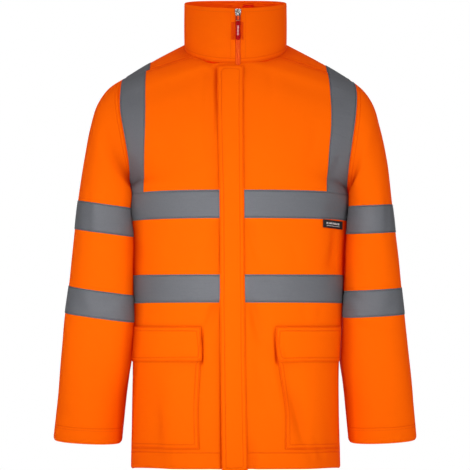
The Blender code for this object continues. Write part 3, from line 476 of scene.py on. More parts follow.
# ---- Curves and sections ----
def unit(vectors):
    return vectors / np.linalg.norm(vectors, axis=-1, keepdims=True)


def running(points):
    """Length along the first axis of an array of points, up to each of them."""
    steps = np.linalg.norm(np.diff(points, axis=0), axis=-1)
    return np.concatenate((np.zeros((1,) + steps.shape[1:]), np.cumsum(steps, axis=0)))


def mean_run(points, closed=False):
    """Mean length from the first row to each row, and to the first again if they are closed."""
    if closed:
        points = np.concatenate((points, points[:1]))
    steps = np.linalg.norm(np.diff(points, axis=0), axis=-1).mean(axis=1)
    return np.concatenate(([0.0], np.cumsum(steps)))


def spline(stations, values, at):
    """Value at a place on the smooth curve through the stations, which rise."""
    place = float(np.clip(at, stations[0], stations[-1]))
    index = int(np.clip(np.searchsorted(stations, place) - 1, 0, len(stations) - 2))
    slopes = np.gradient(np.asarray(values, float), np.asarray(stations, float))
    step = stations[index + 1] - stations[index]
    t = (place - stations[index]) / step
    start, end = values[index], values[index + 1]
    return ((1 + 2 * t) * (1 - t) ** 2 * start + t * (1 - t) ** 2 * step * slopes[index]
            + t * t * (3 - 2 * t) * end + t * t * (t - 1) * step * slopes[index + 1])


def from_table(table, column, at):
    """Smooth value of one column of a table whose first column rises."""
    return spline([row[0] for row in table], [row[column] for row in table], at)


def body(name, z):
    return from_table(BODY_SECTIONS, SECTION_COLUMNS.index(name), z)


def signed_power(value, power):
    return math.copysign(abs(value) ** (2.0 / power), value)


def power_sine(angle, power):
    return signed_power(math.sin(math.radians(angle)), power)


def power_cosine(angle, power):
    return signed_power(math.cos(math.radians(angle)), power)


def neck_ring(side, angle, front, back, middle, tilt):
    """Point on a tilted ring round the neck, at an angle from the centre front."""
    turn = math.radians(angle)
    depth = front if angle < 90 else back
    return np.array((side * NECK_HALF_WIDTH * math.sin(turn), -depth * math.cos(turn),
                     middle - tilt * math.cos(turn)))


def neck_point(side, angle):
    return neck_ring(side, angle, NECK_FRONT, NECK_BACK, NECK_SEAM_MID, NECK_SEAM_TILT)


def collar_top_point(side, angle):
    rise = COLLAR_TOP_RISE * math.sin(math.radians(angle)) ** 2
    return neck_ring(side, angle, NECK_FRONT, COLLAR_TOP_BACK, COLLAR_TOP_MID + rise,
                     COLLAR_TOP_TILT)


def centre_front_angle(side):
    """Angle round the neck at which one front ends beside the zip."""
    edge = ZIP_X + side * ZIP_SLOT / 2
    return math.degrees(math.asin(side * edge / NECK_HALF_WIDTH))


def ring_point(side, ring, angle):
    """Point of a sleeve section, 0 on its outside and 90 at its front; the armhole is one."""
    hole = ARMHOLES[side]
    outer = np.array((ring["out_x"], ring["y"], ring["out_z"]))
    inner = np.array((ring["in_x"], ring["y"], ring["in_z"]))
    along, forward = power_cosine(angle, ring["power"]), power_sine(angle, ring["power"])
    point = (outer + inner) / 2 + (outer - inner) / 2 * along
    point[1] -= ring["depth"] * forward
    if forward > 0:
        twist = hole["twist"] * math.sin(2 * math.radians(angle))
        point[0] += ring["bow"] * (hole["bow"] * forward + twist)
    else:
        point[0] -= ring["bow"] * hole["back_bow"] * forward
    point[0] *= side
    return point


def sleeve_rings(side):
    return [dict(zip(SLEEVE_COLUMNS, row)) for row in SLEEVES[side]]


def armhole_point(side, angle):
    return ring_point(side, sleeve_rings(side)[0], angle)


def panel_rows(facing):
    lower = [dict(name=name, z=z, side_z={RIGHT: right_z, LEFT: left_z}, neck=None, armhole=None,
                  turn=90, rise=0, slope=0) for name, z, right_z, left_z in LOWER_ROWS]
    upper = [dict(zip(UPPER_COLUMNS, row))
             for row in (FRONT_UPPER_ROWS if facing == "front" else BACK_UPPER_ROWS)]
    for index, row in enumerate(upper):
        row["slope"] = min(1.0, index / SLOPE_ROWS)
    return lower + upper


def row_index(facing, name):
    return [row["name"] for row in panel_rows(facing)].index(name)


def row_ends(side, row, facing):
    """Inner and outer end of a panel's row."""
    forward = -1 if facing == "front" else 1
    centre_x = ZIP_X + side * ZIP_SLOT / 2 if facing == "front" else 0.0
    if row["neck"] is None:
        inner = np.array((centre_x, forward * body(facing, row["z"]), row["z"]))
    else:
        inner = neck_point(side, row["neck"] or centre_front_angle(side))
    if row["armhole"] is None:
        side_z = row["side_z"][side]
        outer = np.array((side * body(SIDE_NAME[side], side_z), 0.0, side_z))
    else:
        outer = armhole_point(side, row["armhole"])
    return inner, outer


def row_curve(side, row, facing):
    """The row as two functions: its point at a bend angle, and the bend angle at an x."""
    inner, outer = row_ends(side, row, facing)
    power = body("power", inner[2])
    full_sine = power_sine(row["turn"], power)
    full_drop = 1 - power_cosine(row["turn"], power)

    def point_at(angle):
        out = power_sine(angle, power) / full_sine
        drop = (1 - power_cosine(angle, power)) / full_drop
        fall = row["slope"] * out + (1 - row["slope"]) * drop
        x, y, z = inner + (outer - inner) * (out, drop, fall)
        return np.array((x, y, z + row["rise"] * 4 * out * (1 - out)))

    def angle_at(x):
        share = (x - inner[0]) / (outer[0] - inner[0])
        return math.degrees(math.asin(min(1.0, signed_power(share * full_sine, 4 / power))))

    return point_at, angle_at


def row_points(side, row, facing):
    """One row of a panel, from the centre line or neck to the side seam or armhole."""
    inner, outer = row_ends(side, row, facing)
    point_at, angle_at = row_curve(side, row, facing)
    tape_column = TAPE_LINE_COLUMNS.index(f"{facing}_{SIDE_NAME[side]}")
    tape_x = side * from_table(TAPE_LINE, tape_column, (inner[2] + outer[2]) / 2)
    split_x = inner[0] + PANEL_SPLIT * (tape_x - inner[0])
    if facing == "front" and row["armhole"] is None:
        split_x = side * from_table(POCKET_LINE[side], 1, inner[2])
    places = np.concatenate((np.linspace(inner[0], split_x, INNER_STEPS + 1)[:-1],
                             np.linspace(split_x, tape_x, MIDDLE_STEPS + 1)))
    angles = [angle_at(x) for x in places]
    angles += [angles[-1] + (row["turn"] - angles[-1]) * step for step in BEND_STEPS]
    return [point_at(angle) for angle in angles]


# ---- Folds ----
def folds_at(folds, x, z):
    """How far the cloth sinks at places (x, z) under a list of folds, with a lip beside each."""
    depth = np.zeros_like(x)
    for row in folds:
        fold = dict(zip(FOLD_COLUMNS, row))
        run_x, run_z = fold["x1"] - fold["x0"], fold["z1"] - fold["z0"]
        length = math.hypot(run_x, run_z)
        along = ((x - fold["x0"]) * run_x + (z - fold["z0"]) * run_z) / length ** 2
        inside = np.clip(along, 0, 1)
        across = ((x - fold["x0"]) * run_z - (z - fold["z0"]) * run_x) / length
        across = across - fold["bow"] * 4 * inside * (1 - inside)
        reach = np.hypot(across, (along - inside) * length) * 2 / fold["width"]
        trough = np.exp(-reach ** 2)
        if fold["fade"] == "round":
            depth += fold["depth"] * trough
            continue
        beside = across * 2 / fold["width"] - LIP_AT
        beyond = (along - inside) * length * 2 / fold["width"]
        lip = np.exp(-beside ** 2 - beyond ** 2)
        fade = np.sin(math.pi * inside) if fold["fade"] == "both" else np.cos(math.pi / 2 * inside)
        depth += fold["depth"] * (trough - LIP_SHARE * lip) * np.maximum(fade, 0) ** 0.8
    return depth


def puckers(along, away, reach, depth, seed):
    """Small uneven waves along a row of stitching, which die away beside it."""
    phases = np.random.default_rng(seed).uniform(0, 2 * math.pi, len(PUCKER_WAVES))
    waves = sum(np.sin(2 * math.pi * along / length + phase)
                for length, phase in zip(PUCKER_WAVES, phases))
    strength = 0.55 + 0.45 * np.sin(along / 47.0 + phases[0])
    return depth * waves / len(PUCKER_WAVES) * strength * np.exp(-(away / reach) ** 2)


def curled(away):
    """How far a hem has rounded over to the inside, by its distance from the edge."""
    share = 1 - np.clip(away / HEM_CURL_REACH, 0, 1)
    return HEM_CURL * (1 - np.sqrt(1 - np.minimum(share, 0.999) ** 2))


def body_relief(folds):
    def relief(points, across, along):
        x, y, z = points[..., 0], points[..., 1], points[..., 2]
        girth = BODY_RADIUS * np.arctan2(x, np.abs(y) + 1e-6)
        fall = ROW_FALL * np.minimum(1.0, (np.abs(x) / ROW_FALL_AT) ** 2)
        depth = folds_at(folds, x, z)
        for index, (height, reach, amount) in enumerate(BODY_PUCKERS):
            away = z - height + fall * (0.5 if index else 1.0)
            depth += puckers(girth, away, reach, amount, index)
        return depth + curled(along)
    return relief


def sleeve_relief(side):
    def relief(points, across, along):
        height, reach, amount = CUFF_PUCKER
        return (folds_at(SLEEVE_CREASES[side], across, along) + curled(along.max() - along)
                + puckers(across, along - height, reach, amount, 40 + side))
    return relief


# ---- Surfaces ----
def smooth(points, places):
    """Points at fractional places on the smooth curves through the rows of an array."""
    steps = np.maximum(np.linalg.norm(np.diff(points, axis=0), axis=-1, keepdims=True), 1e-6)
    slopes = np.diff(points, axis=0) / steps
    turns = (steps[:-1] * slopes[1:] + steps[1:] * slopes[:-1]) / (steps[:-1] + steps[1:])
    ends = (3 * slopes[:1] - turns[:1]) / 2, (3 * slopes[-1:] - turns[-1:]) / 2
    turns = np.concatenate((ends[0], turns, ends[1]))
    first = np.clip(np.floor(places).astype(int), 0, len(steps) - 1)
    t = (places - first).reshape((-1,) + (1,) * (points.ndim - 1))
    return ((1 + 2 * t) * (1 - t) ** 2 * points[first]
            + t * (1 - t) ** 2 * steps[first] * turns[first]
            + t * t * (3 - 2 * t) * points[first + 1]
            + t * t * (t - 1) * steps[first] * turns[first + 1])


def spaced(lengths, low, high, spacing):
    """Fractional places from low to high, a nearly even length apart."""
    places = np.arange(len(lengths)) / SAMPLES
    ends = np.interp((low, high), places, lengths)
    count = max(3, int(round(abs(ends[1] - ends[0]) / spacing)) + 1)
    return np.interp(np.linspace(*ends, count), lengths, places)


def blend_weights(t):
    return np.stack(((-t + 2 * t * t - t ** 3) / 2, (2 - 5 * t * t + 3 * t ** 3) / 2,
                     (t + 4 * t * t - 3 * t ** 3) / 2, (t ** 3 - t * t) / 2))


class Surface:
    """Smooth surface through the points of a grid, with folds pressed into it."""

    def __init__(self, grid, outward, relief=None, closed=False):
        grid = np.asarray(grid, float)
        self.closed, self.outward = closed, outward
        self.rows = grid.shape[0] - 1
        self.columns = grid.shape[1] - (0 if closed else 1)
        if closed:
            grid = np.concatenate((grid[:, -3:], grid, grid[:, :4]), axis=1)
        fine = smooth(grid, np.arange(self.rows * SAMPLES + 1) / SAMPLES)
        places = np.arange(self.columns * SAMPLES + 1) / SAMPLES + (3 if closed else 0)
        fine = smooth(fine.swapaxes(0, 1), places).swapaxes(0, 1)
        self.along = mean_run(fine)
        self.across = mean_run(fine.swapaxes(0, 1))
        if relief is not None:
            across, along = np.meshgrid(self.across, self.along)
            fine = fine - self.normals(fine) * relief(fine, across, along)[..., None]
        values = np.concatenate((fine, self.normals(fine)), axis=2)
        before, after = 2 * values[:1] - values[1:2], 2 * values[-1:] - values[-2:-1]
        values = np.concatenate((before, values, after))
        before, after = values[:, -2:-1], values[:, 1:2]
        if not closed:
            before = 2 * values[:, :1] - values[:, 1:2]
            after = 2 * values[:, -1:] - values[:, -2:-1]
        self.values = np.concatenate((before, values, after), axis=1)

    def normals(self, points):
        along, across = np.gradient(points, axis=0), np.gradient(points, axis=1)
        if self.closed:
            across[:, 0] = across[:, -1] = (points[:, 1] - points[:, -2]) / 2
        normal = np.cross(across, along)
        normal /= np.maximum(np.linalg.norm(normal, axis=-1, keepdims=True), 1e-9)
        return normal if np.sum(normal * self.outward(points)) > 0 else -normal

    def at(self, rows, columns, lift=0.0):
        """Points and normals at fractional rows and columns, moved out along the normals."""
        rows, columns = np.broadcast_arrays(np.asarray(rows, float), np.asarray(columns, float))
        rows = np.clip(rows, 0, self.rows)
        columns = (np.mod(columns, self.columns) if self.closed
                   else np.clip(columns, 0, self.columns))
        first_row = np.minimum((rows * SAMPLES).astype(int), self.rows * SAMPLES - 1)
        first_column = np.minimum((columns * SAMPLES).astype(int), self.columns * SAMPLES - 1)
        by_row = blend_weights(rows * SAMPLES - first_row)
        by_column = blend_weights(columns * SAMPLES - first_column)
        value = sum(by_row[i][..., None] * by_column[j][..., None]
                    * self.values[first_row + i, first_column + j]
                    for i in range(4) for j in range(4))
        points, normals = value[..., :3], unit(value[..., 3:])
        return points + normals * np.asarray(lift, float)[..., None], normals

    def patch(self, rows, columns, lift=0.0):
        points, normals = self.at(np.asarray(rows)[:, None], np.asarray(columns)[None, :], lift)
        return points, normals, np.ones(points.shape[:2])

    def rows_between(self, low, high, spacing=SPACING):
        return spaced(self.along, low, high, spacing)

    def columns_between(self, low, high, spacing=SPACING):
        return spaced(self.across, low, high, spacing)

    def column_after(self, row, column, end, distance):
        """Column at a distance along one row towards an end, or that end if it comes first."""
        places = np.linspace(column, end, 60)
        lengths = running(self.at(row, places)[0])
        return float(np.interp(min(distance, lengths[-1]), lengths, places))

    def find(self, x, z, row, column):
        """Rows and columns of places of the front view, from a first guess."""
        x, z = np.asarray(x, float), np.asarray(z, float)
        row, column = np.full(x.shape, float(row)), np.full(x.shape, float(column))
        step = 0.02
        for _ in range(14):
            here = self.at(row, column)[0]
            by_row = (self.at(row + step, column)[0] - here) / step
            by_column = (self.at(row, column + step)[0] - here) / step
            miss_x, miss_z = x - here[..., 0], z - here[..., 2]
            scale = by_row[..., 0] * by_column[..., 2] - by_row[..., 2] * by_column[..., 0]
            rows_on = (miss_x * by_column[..., 2] - miss_z * by_column[..., 0]) / scale
            columns_on = (by_row[..., 0] * miss_z - by_row[..., 2] * miss_x) / scale
            row = row + np.clip(rows_on, -0.5, 0.5)
            column = column + np.clip(columns_on, -0.5, 0.5)
        return row, column


def level(points):
    """Away from the body's middle, across the front and the back."""
    return points * (0, 1, 0)


def turned_back(side, point):
    """A point of a front, moved back where the cloth falls in beside the pocket."""
    amount, top, run, start, width = SIDE_FALLS[side]
    x, y, z = point
    down = np.clip((top - z) / run, 0, 1)
    out = np.clip((abs(x) - start) / width, 0, 1)
    share = down * down * (3 - 2 * down) * out * out * (3 - 2 * out)
    share *= min(1.0, abs(y) / SIDE_FALL_FADE)
    return np.array((x, y + amount * share, z))


def front_surface(side):
    rows = [[turned_back(side, point) for point in row_points(side, row, "front")]
            for row in panel_rows("front")]
    return Surface(rows, level, body_relief(PRESSED_IN + FRONT_CREASES + FLAP_GAPS))


def back_surface():
    """The whole back, from the right side seam to the left one."""
    rows = []
    for row in panel_rows("back"):
        right, left = (row_points(side, row, "back") for side in (RIGHT, LEFT))
        rows.append(right[::-1] + left[1:])
    return Surface(rows, level, body_relief(BACK_CREASES))


def clear_of_body(side, point):
    """A sleeve's point below the armhole, moved out past the body's side where they meet."""
    x, y, z = point
    if z > SLEEVE_CLEAR_BELOW[side]:
        return point
    power = body("power", z)
    depth = body("front" if y < 0 else "back", z) + SLEEVE_CLEARANCE
    reach = body(SIDE_NAME[side], z) + SLEEVE_CLEARANCE
    limit = reach * max(0.0, 1 - abs(y / depth) ** power) ** (1 / power)
    return np.array((side * max(abs(x), limit), y, z))


def evenly(points, count):
    """Points an even length apart round a closed outline, whose last point is its first."""
    lengths = running(points)
    places = np.linspace(0, lengths[-1], count, endpoint=False)
    return np.stack([np.interp(places, lengths, points[:, axis]) for axis in range(3)], axis=-1)


def armhole_edge(side):
    """The edge of the body's cloth round one armhole."""
    front, back = FRONTS[side], BACK
    front_rows = np.linspace(row_index("front", "underarm"), front.rows, 240)
    back_rows = np.linspace(row_index("back", "underarm"), back.rows, 360)
    return np.concatenate((front.at(front_rows, front.columns)[0],
                           back.at(back_rows, 0.0 if side == RIGHT else back.columns)[0]))


def sleeve_surface(side):
    """Sleeve from the armhole to the cuff, in columns round it from the underarm seam."""
    rows = []
    angles = np.linspace(180, 540, 361)
    beside = (angles - 360 - SLEEVE_LAP_AT) / SLEEVE_LAP_WIDTH
    for ring in sleeve_rings(side):
        outline = np.array([ring_point(side, ring, angle) for angle in angles])
        lap = SLEEVE_LAPS[side].get(ring["name"], 0.0)
        outline[:, 0] -= side * lap * np.exp(-beside ** 2)
        if ring["name"] != "armhole":
            outline = np.array([clear_of_body(side, point) for point in outline])
        rows.append(evenly(outline, SLEEVE_POINTS_ROUND))
    edge = armhole_edge(side)
    rows[0] = np.array([edge[np.argmin(np.linalg.norm(edge - point, axis=1))] for point in rows[0]])
    rows[0] = rows[0] + (side * SEAM_GAP, 0, 0)
    return Surface(rows, lambda points: points - points.mean(axis=1, keepdims=True),
                   sleeve_relief(side), closed=True)


def collar_surface():
    """Collar from the right front's edge round the back to the left front's edge."""
    angles = {row[UPPER_COLUMNS.index("neck")] for row in FRONT_UPPER_ROWS + BACK_UPPER_ROWS}
    angles = sorted(angle for angle in angles if angle)
    stations = [(RIGHT, centre_front_angle(RIGHT))] + [(RIGHT, angle) for angle in angles]
    stations += [(LEFT, angle) for angle in angles[-2::-1]] + [(LEFT, centre_front_angle(LEFT))]
    rows = []
    for share in COLLAR_ROWS:
        row = []
        for side, angle in stations:
            low = neck_point(side, angle) - (0, 0, COLLAR_SINK)
            high = collar_top_point(side, angle)
            row.append(low + (high - low) * share)
        rows.append(row)
    return Surface(rows, lambda points: points * (1, 1, 0))


def storm_flap_surface():
    """Strip over the zip, from its free edge to its sewn edge, on the rows of the fronts."""
    rows = []
    for row in panel_rows("front")[:row_index("front", "neck_front") + 1]:
        height = row["z"] if row["z"] is not None else neck_point(RIGHT, row["neck"])[2]
        free, sewn = (from_table(STORM_FLAP, FLAP_COLUMNS.index(name), height)
                      for name in FLAP_COLUMNS[1:])
        points = []
        for x in np.linspace(free, sewn, 7):
            side = RIGHT if x < ZIP_X - ZIP_SLOT / 2 else LEFT
            point_at, angle_at = row_curve(side, row, "front")
            inner = row_ends(side, row, "front")[0]
            on_panel = side * (x - inner[0]) > 0
            points.append(point_at(angle_at(x)) if on_panel else np.array((x, *inner[1:])))
        rows.append(points)
    return Surface(rows, level, body_relief(PRESSED_IN))


# ---- Cutting and sewing ----
# A cut is (points, normals, live) in rows and columns; live is 0 on cloth that is turned under.
BORDERS = ("first_row", "last_row", "first_column", "last_column")
THREE_SIDES = ("first_column", "first_row", "last_column")
ALL_ROUND = dict.fromkeys(BORDERS, 0)


def facing_border(array, border):
    """A cut's array, turned so that a border is its first row."""
    array = array.swapaxes(0, 1) if border.endswith("column") else array
    return array[::-1] if border.startswith("last") else array


def put_back(array, border):
    """An array that facing_border turned, as it was before."""
    array = array[::-1] if border.startswith("last") else array
    return array.swapaxes(0, 1) if border.endswith("column") else array


def on_border(cut, border, work, **sizes):
    """Finish one border of a cut."""
    arrays = work(*(facing_border(array, border) for array in cut), **sizes)
    return tuple(put_back(array, border) for array in arrays)


def drawn_in(points, distance):
    """The first row moved towards the second, and the way out from it."""
    run = points[1] - points[0]
    length = np.maximum(np.linalg.norm(run, axis=-1, keepdims=True), 1e-6)
    return points[0] + run / length * np.minimum(distance, 0.6 * length), -run / length


def rolled(start, out, normal, radius, angles):
    """Rows of a rounded edge, at angles from flat, and their normals."""
    rows, faces = [], []
    for turn in map(math.radians, angles):
        rows.append(start + out * radius * math.sin(turn) - normal * radius * (1 - math.cos(turn)))
        faces.append(normal * math.cos(turn) + out * math.sin(turn))
    return rows, faces


def seam(points, normals, live, roll=SEAM_ROLL, tuck=SEAM_TUCK, gap=SEAM_GAP):
    """Edge that goes into a seam or lies on another piece: rounded over, then straight down."""
    start, out = drawn_in(points, gap + roll)
    rows, faces = rolled(start, out, normals[0], roll, (90, 60, 30))
    rows = [rows[0] - normals[0] * tuck * live[0][:, None]] + rows + [start]
    return (np.concatenate((rows, points[1:])), np.concatenate((faces[:1] + faces, normals)),
            np.concatenate((np.repeat(live[:1], SEAM_CREST + 1, axis=0), live[1:])))


def hem(points, normals, live, depth, roll=HEM_ROLL):
    """Edge folded under by a number of rows."""
    start, out = drawn_in(points, roll)
    bend, bend_faces = rolled(start, out, normals[0], roll, (180, 150, 120, 90, 60, 30))
    under = range(depth, 0, -1)
    rows = [points[k] - normals[k] * 2 * roll for k in under] + bend + [start]
    faces = [-normals[k] for k in under] + bend_faces
    return (np.concatenate((rows, points[1:])), np.concatenate((faces, normals)),
            np.concatenate((np.zeros((len(faces),) + live.shape[1:]), live)))


def edge_distances(points, crests):
    """Distance of each point from the nearest of some borders; crests are their rows there."""
    nearest = np.full(points.shape[:2], NO_EDGE)
    for border, crest in crests.items():
        run = running(facing_border(points, border))
        nearest = np.minimum(nearest, put_back(np.abs(run - run[crest]), border))
    return nearest


# ---- Objects ----
def new_piece(name, mesh, material, node_slot, part="jacket", replaces=()):
    """Object of a finished mesh, in its material, on the part that carries it."""
    if material is not None:
        mesh.materials.append(MATERIALS[material])
    obj = bpy.data.objects.new(name, mesh)
    bpy.context.scene.collection.objects.link(obj)
    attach(obj, part)
    if replaces:
        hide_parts(*replaces)
    return obj


def walled(obj, thickness):
    wall = obj.modifiers.new("wall", "SOLIDIFY")
    wall.thickness = thickness * MM
    wall.offset = -1


def softened(obj, width, segments=3, angle=35):
    edge = obj.modifiers.new("edge", "BEVEL")
    edge.width = width * MM
    edge.segments = segments
    edge.limit_method = "ANGLE"
    edge.angle_limit = math.radians(angle)
    edge.harden_normals = True


def grid_mesh(name, cut, closed=False, sewn=None, hemmed=None):
    """Mesh of a cut, with a map in metres of cloth and its distances from seams and hems."""
    points, normals, _ = cut
    count, columns = points.shape[:2]
    around = columns if closed else columns - 1
    low = np.arange(count - 1)[:, None] * columns
    j = np.arange(around)[None, :]
    k = (j + 1) % columns
    high = low + columns
    faces = np.stack((low + j, low + k, high + k, high + j), axis=-1).reshape(-1, 4)
    along = points[1:, :around] - points[:-1, :around]
    across = points[:-1][:, k[0]] - points[:-1, :around]
    if np.sum(np.cross(across, along) * normals[:-1, :around]) < 0:
        faces = faces[:, ::-1]
    mesh = bpy.data.meshes.new(name)
    mesh.from_pydata((points.reshape(-1, 3) * MM).tolist(), [], faces.tolist())
    v = mean_run(points) * MM
    u = mean_run(points.swapaxes(0, 1), closed) * MM
    corner_row, corner_column = faces // columns, faces % columns
    if closed:
        wraps = (corner_column == 0) & (corner_column.max(axis=1, keepdims=True) == columns - 1)
        corner_column = np.where(wraps, columns, corner_column)
    uv = np.stack((u[corner_column], v[corner_row]), axis=-1)
    mesh.uv_layers.new(name="cloth").data.foreach_set("uv", uv.reshape(-1))
    for attribute, crests in (("sewn", sewn), ("hemmed", hemmed)):
        away = edge_distances(points, crests or {})
        mesh.attributes.new(attribute, "FLOAT", "POINT").data.foreach_set("value", away.reshape(-1))
    mesh.shade_smooth()
    mesh.update()
    return mesh


def flat_size(points, closed):
    """Width, length and area of a cut laid flat, in metres."""
    if closed:
        points = np.concatenate((points, points[:, :1]), axis=1)
    width = np.linalg.norm(np.diff(points, axis=1), axis=-1).sum(axis=1).max()
    length = np.linalg.norm(np.diff(points, axis=0), axis=-1).sum(axis=0).max()
    across, along = points[:-1, 1:] - points[:-1, :-1], points[1:, :-1] - points[:-1, :-1]
    other, back = points[:-1, 1:] - points[1:, 1:], points[1:, :-1] - points[1:, 1:]
    area = (np.linalg.norm(np.cross(across, along), axis=-1).sum()
            + np.linalg.norm(np.cross(other, back), axis=-1).sum()) / 2
    return float(width * MM), float(length * MM), float(area * MM * MM)


def sheet(name, cut, thickness, material, nodes, held, rests_on, closed=False, edge=None, **crests):
    """A piece of cloth: a shell under its outer surface."""
    nodes = (nodes,) if isinstance(nodes, str) else nodes
    mesh = grid_mesh(name, cut, closed, **crests)
    obj = new_piece(name, mesh, material, SLOTS[nodes[0]], replaces=nodes)
    walled(obj, thickness)
    if edge:
        softened(obj, edge, 2, 50)
    width, length, area = flat_size(cut[0], closed)
    min(area, width * length)


def tape(node, cut, held, rests_on, sewn, closed=False):
    sheet(node + "_tape", cut, TAPE_SHELL, "reflective_tape", node, held, [rests_on], closed,
          TAPE_EDGE, sewn=dict.fromkeys(sewn, 0))


# ---- Node trees ----
class Tree:
    """Short calls for building a node tree."""

    def __init__(self, tree):
        self.tree = tree

    def add(self, kind, inputs=None, **settings):
        node = self.tree.nodes.new(kind)
        for key, value in settings.items():
            setattr(node, key, value)
        for key, value in (inputs or {}).items():
            if isinstance(value, bpy.types.NodeSocket):
                self.tree.links.new(value, node.inputs[key])
            else:
                node.inputs[key].default_value = value
        return node

    def join(self, output, socket):
        self.tree.links.new(output, socket)

    def maths(self, operation, first, second=0.0, third=0.0):
        inputs = {0: first, 1: second, 2: third}
        return self.add("ShaderNodeMath", inputs, operation=operation).outputs[0]

    def bell(self, value):
        """e to the power of minus the value squared."""
        squared = self.maths("MULTIPLY", value, value)
        return self.maths("EXPONENT", self.maths("MULTIPLY", squared, -1.0))

    def mix(self, share, first, second):
        inputs = {0: share, 6: first, 7: second}
        return self.add("ShaderNodeMix", inputs, data_type="RGBA").outputs[2]

    def noise(self, place, scale, detail, **more):
        inputs = {"Vector": place, "Scale": scale, "Detail": detail, **more}
        return self.add("ShaderNodeTexNoise", inputs).outputs[0]

    def effect(self, name, **inputs):
        inputs = {key.replace("_", " "): value for key, value in inputs.items()}
        return self.add("ShaderNodeGroup", inputs, node_tree=EFFECTS[name]).outputs

    def bump(self, shader, height, distance, strength, **under):
        inputs = {"Height": height, "Distance": distance * MM, "Strength": strength, **under}
        normal = self.add("ShaderNodeBump", inputs).outputs[0]
        self.join(normal, shader["Normal"])
        return normal


def thread_tree():
    """Short arched lengths of thread, one after another along a line."""
    tree = bpy.data.node_groups.new("thread_row", "GeometryNodeTree")
    face = tree.interface
    face.new_socket("Line", in_out="INPUT", socket_type="NodeSocketGeometry")
    for name in THREAD_SIZES:
        face.new_socket(name, in_out="INPUT", socket_type="NodeSocketFloat")
    face.new_socket("Finish", in_out="INPUT", socket_type="NodeSocketMaterial")
    face.new_socket("Thread row", in_out="OUTPUT", socket_type="NodeSocketGeometry")
    made = Tree(tree)
    add, maths = made.add, made.maths
    given, result = add("NodeGroupInput").outputs, add("NodeGroupOutput")
    half = maths("MULTIPLY", given["Length"], 0.5)
    sink = maths("MULTIPLY", given["Sink"], -1.0)
    crown = maths("ADD", maths("MULTIPLY", given["Rise"], 2.0), given["Sink"])
    back = add("ShaderNodeCombineXYZ", {0: maths("MULTIPLY", half, -1.0), 2: sink})
    over = add("ShaderNodeCombineXYZ", {2: crown})
    ahead = add("ShaderNodeCombineXYZ", {0: half, 2: sink})
    arch = add("GeometryNodeCurveQuadraticBezier",
               {"Resolution": 3, "Start": back.outputs[0], "Middle": over.outputs[0],
                "End": ahead.outputs[0]})
    section = add("GeometryNodeCurvePrimitiveCircle", {"Resolution": 4, "Radius": given["Thread"]})
    thread = add("GeometryNodeCurveToMesh",
                 {"Curve": arch.outputs[0], "Profile Curve": section.outputs[0]})
    line = add("GeometryNodeMeshToCurve", {"Mesh": given["Line"]})
    stops = add("GeometryNodeResampleCurve", {"Curve": line.outputs[0], "Length": given["Pitch"]},
                mode="LENGTH")
    outward = add("GeometryNodeInputNamedAttribute", {"Name": "outward"}, data_type="FLOAT_VECTOR")
    tangent = add("GeometryNodeInputTangent")
    lie = add("FunctionNodeAxesToRotation",
              {"Primary Axis": outward.outputs[0], "Secondary Axis": tangent.outputs[0]},
              primary_axis="Z", secondary_axis="X")
    swing = add("FunctionNodeAxisAngleToRotation", {"Angle": given["Turn"]})
    turned = add("FunctionNodeRotateRotation",
                 {"Rotation": lie.outputs[0], "Rotate By": swing.outputs[0]},
                 rotation_space="LOCAL")
    copies = add("GeometryNodeInstanceOnPoints",
                 {"Points": stops.outputs[0], "Instance": thread.outputs[0],
                  "Rotation": turned.outputs[0]})
    real = add("GeometryNodeRealizeInstances", {"Geometry": copies.outputs[0]})
    soft = add("GeometryNodeSetShadeSmooth", {"Geometry": real.outputs[0]})
    done = add("GeometryNodeSetMaterial",
               {"Geometry": soft.outputs[0], "Material": given["Finish"]})
    made.join(done.outputs[0], result.inputs[0])
    return tree


def make_threads(tree, name, lines, node_slot, material, sizes, turn):
    """Plain mesh of the thread along some lines, each given as (points, normals)."""
    vertices, edges, outward = [], [], []
    for points, normals in lines:
        start = len(vertices)
        vertices += (points * MM).tolist()
        outward += normals.tolist()
        edges += [(start + i, start + i + 1) for i in range(len(points) - 1)]
    mesh = bpy.data.meshes.new(name + "_line")
    mesh.from_pydata(vertices, edges, [])
    attribute = mesh.attributes.new("outward", "FLOAT_VECTOR", "POINT")
    attribute.data.foreach_set("vector", np.ravel(outward))
    source = bpy.data.objects.new(name + "_line", mesh)
    bpy.context.scene.collection.objects.link(source)
    row = source.modifiers.new("thread_row", "NODES")
    row.node_group = tree
    values = dict(zip(THREAD_SIZES, [size * MM for size in sizes] + [math.radians(turn)]))
    values["Finish"] = MATERIALS[material]
    for item in tree.interface.items_tree:
        if item.name in values:
            row[item.identifier] = values[item.name]
    depsgraph = bpy.context.evaluated_depsgraph_get()
    made = bpy.data.meshes.new_from_object(source.evaluated_get(depsgraph))
    bpy.data.objects.remove(source)
    made.name = name
    new_piece(name, made, None, node_slot)


# ---- Finishes ----
def effect(name, inputs, outputs):
    """Empty shader node group with named inputs (name, kind, value) and float outputs."""
    tree = bpy.data.node_groups.new(name, "ShaderNodeTree")
    for label, kind, value in inputs:
        socket = tree.interface.new_socket(label, in_out="INPUT", socket_type="NodeSocket" + kind)
        if value is not None:
            socket.default_value = value
    for label in outputs:
        tree.interface.new_socket(label, in_out="OUTPUT", socket_type="NodeSocketFloat")
    made = Tree(tree)
    return made, made.add("NodeGroupInput").outputs, made.add("NodeGroupOutput").inputs


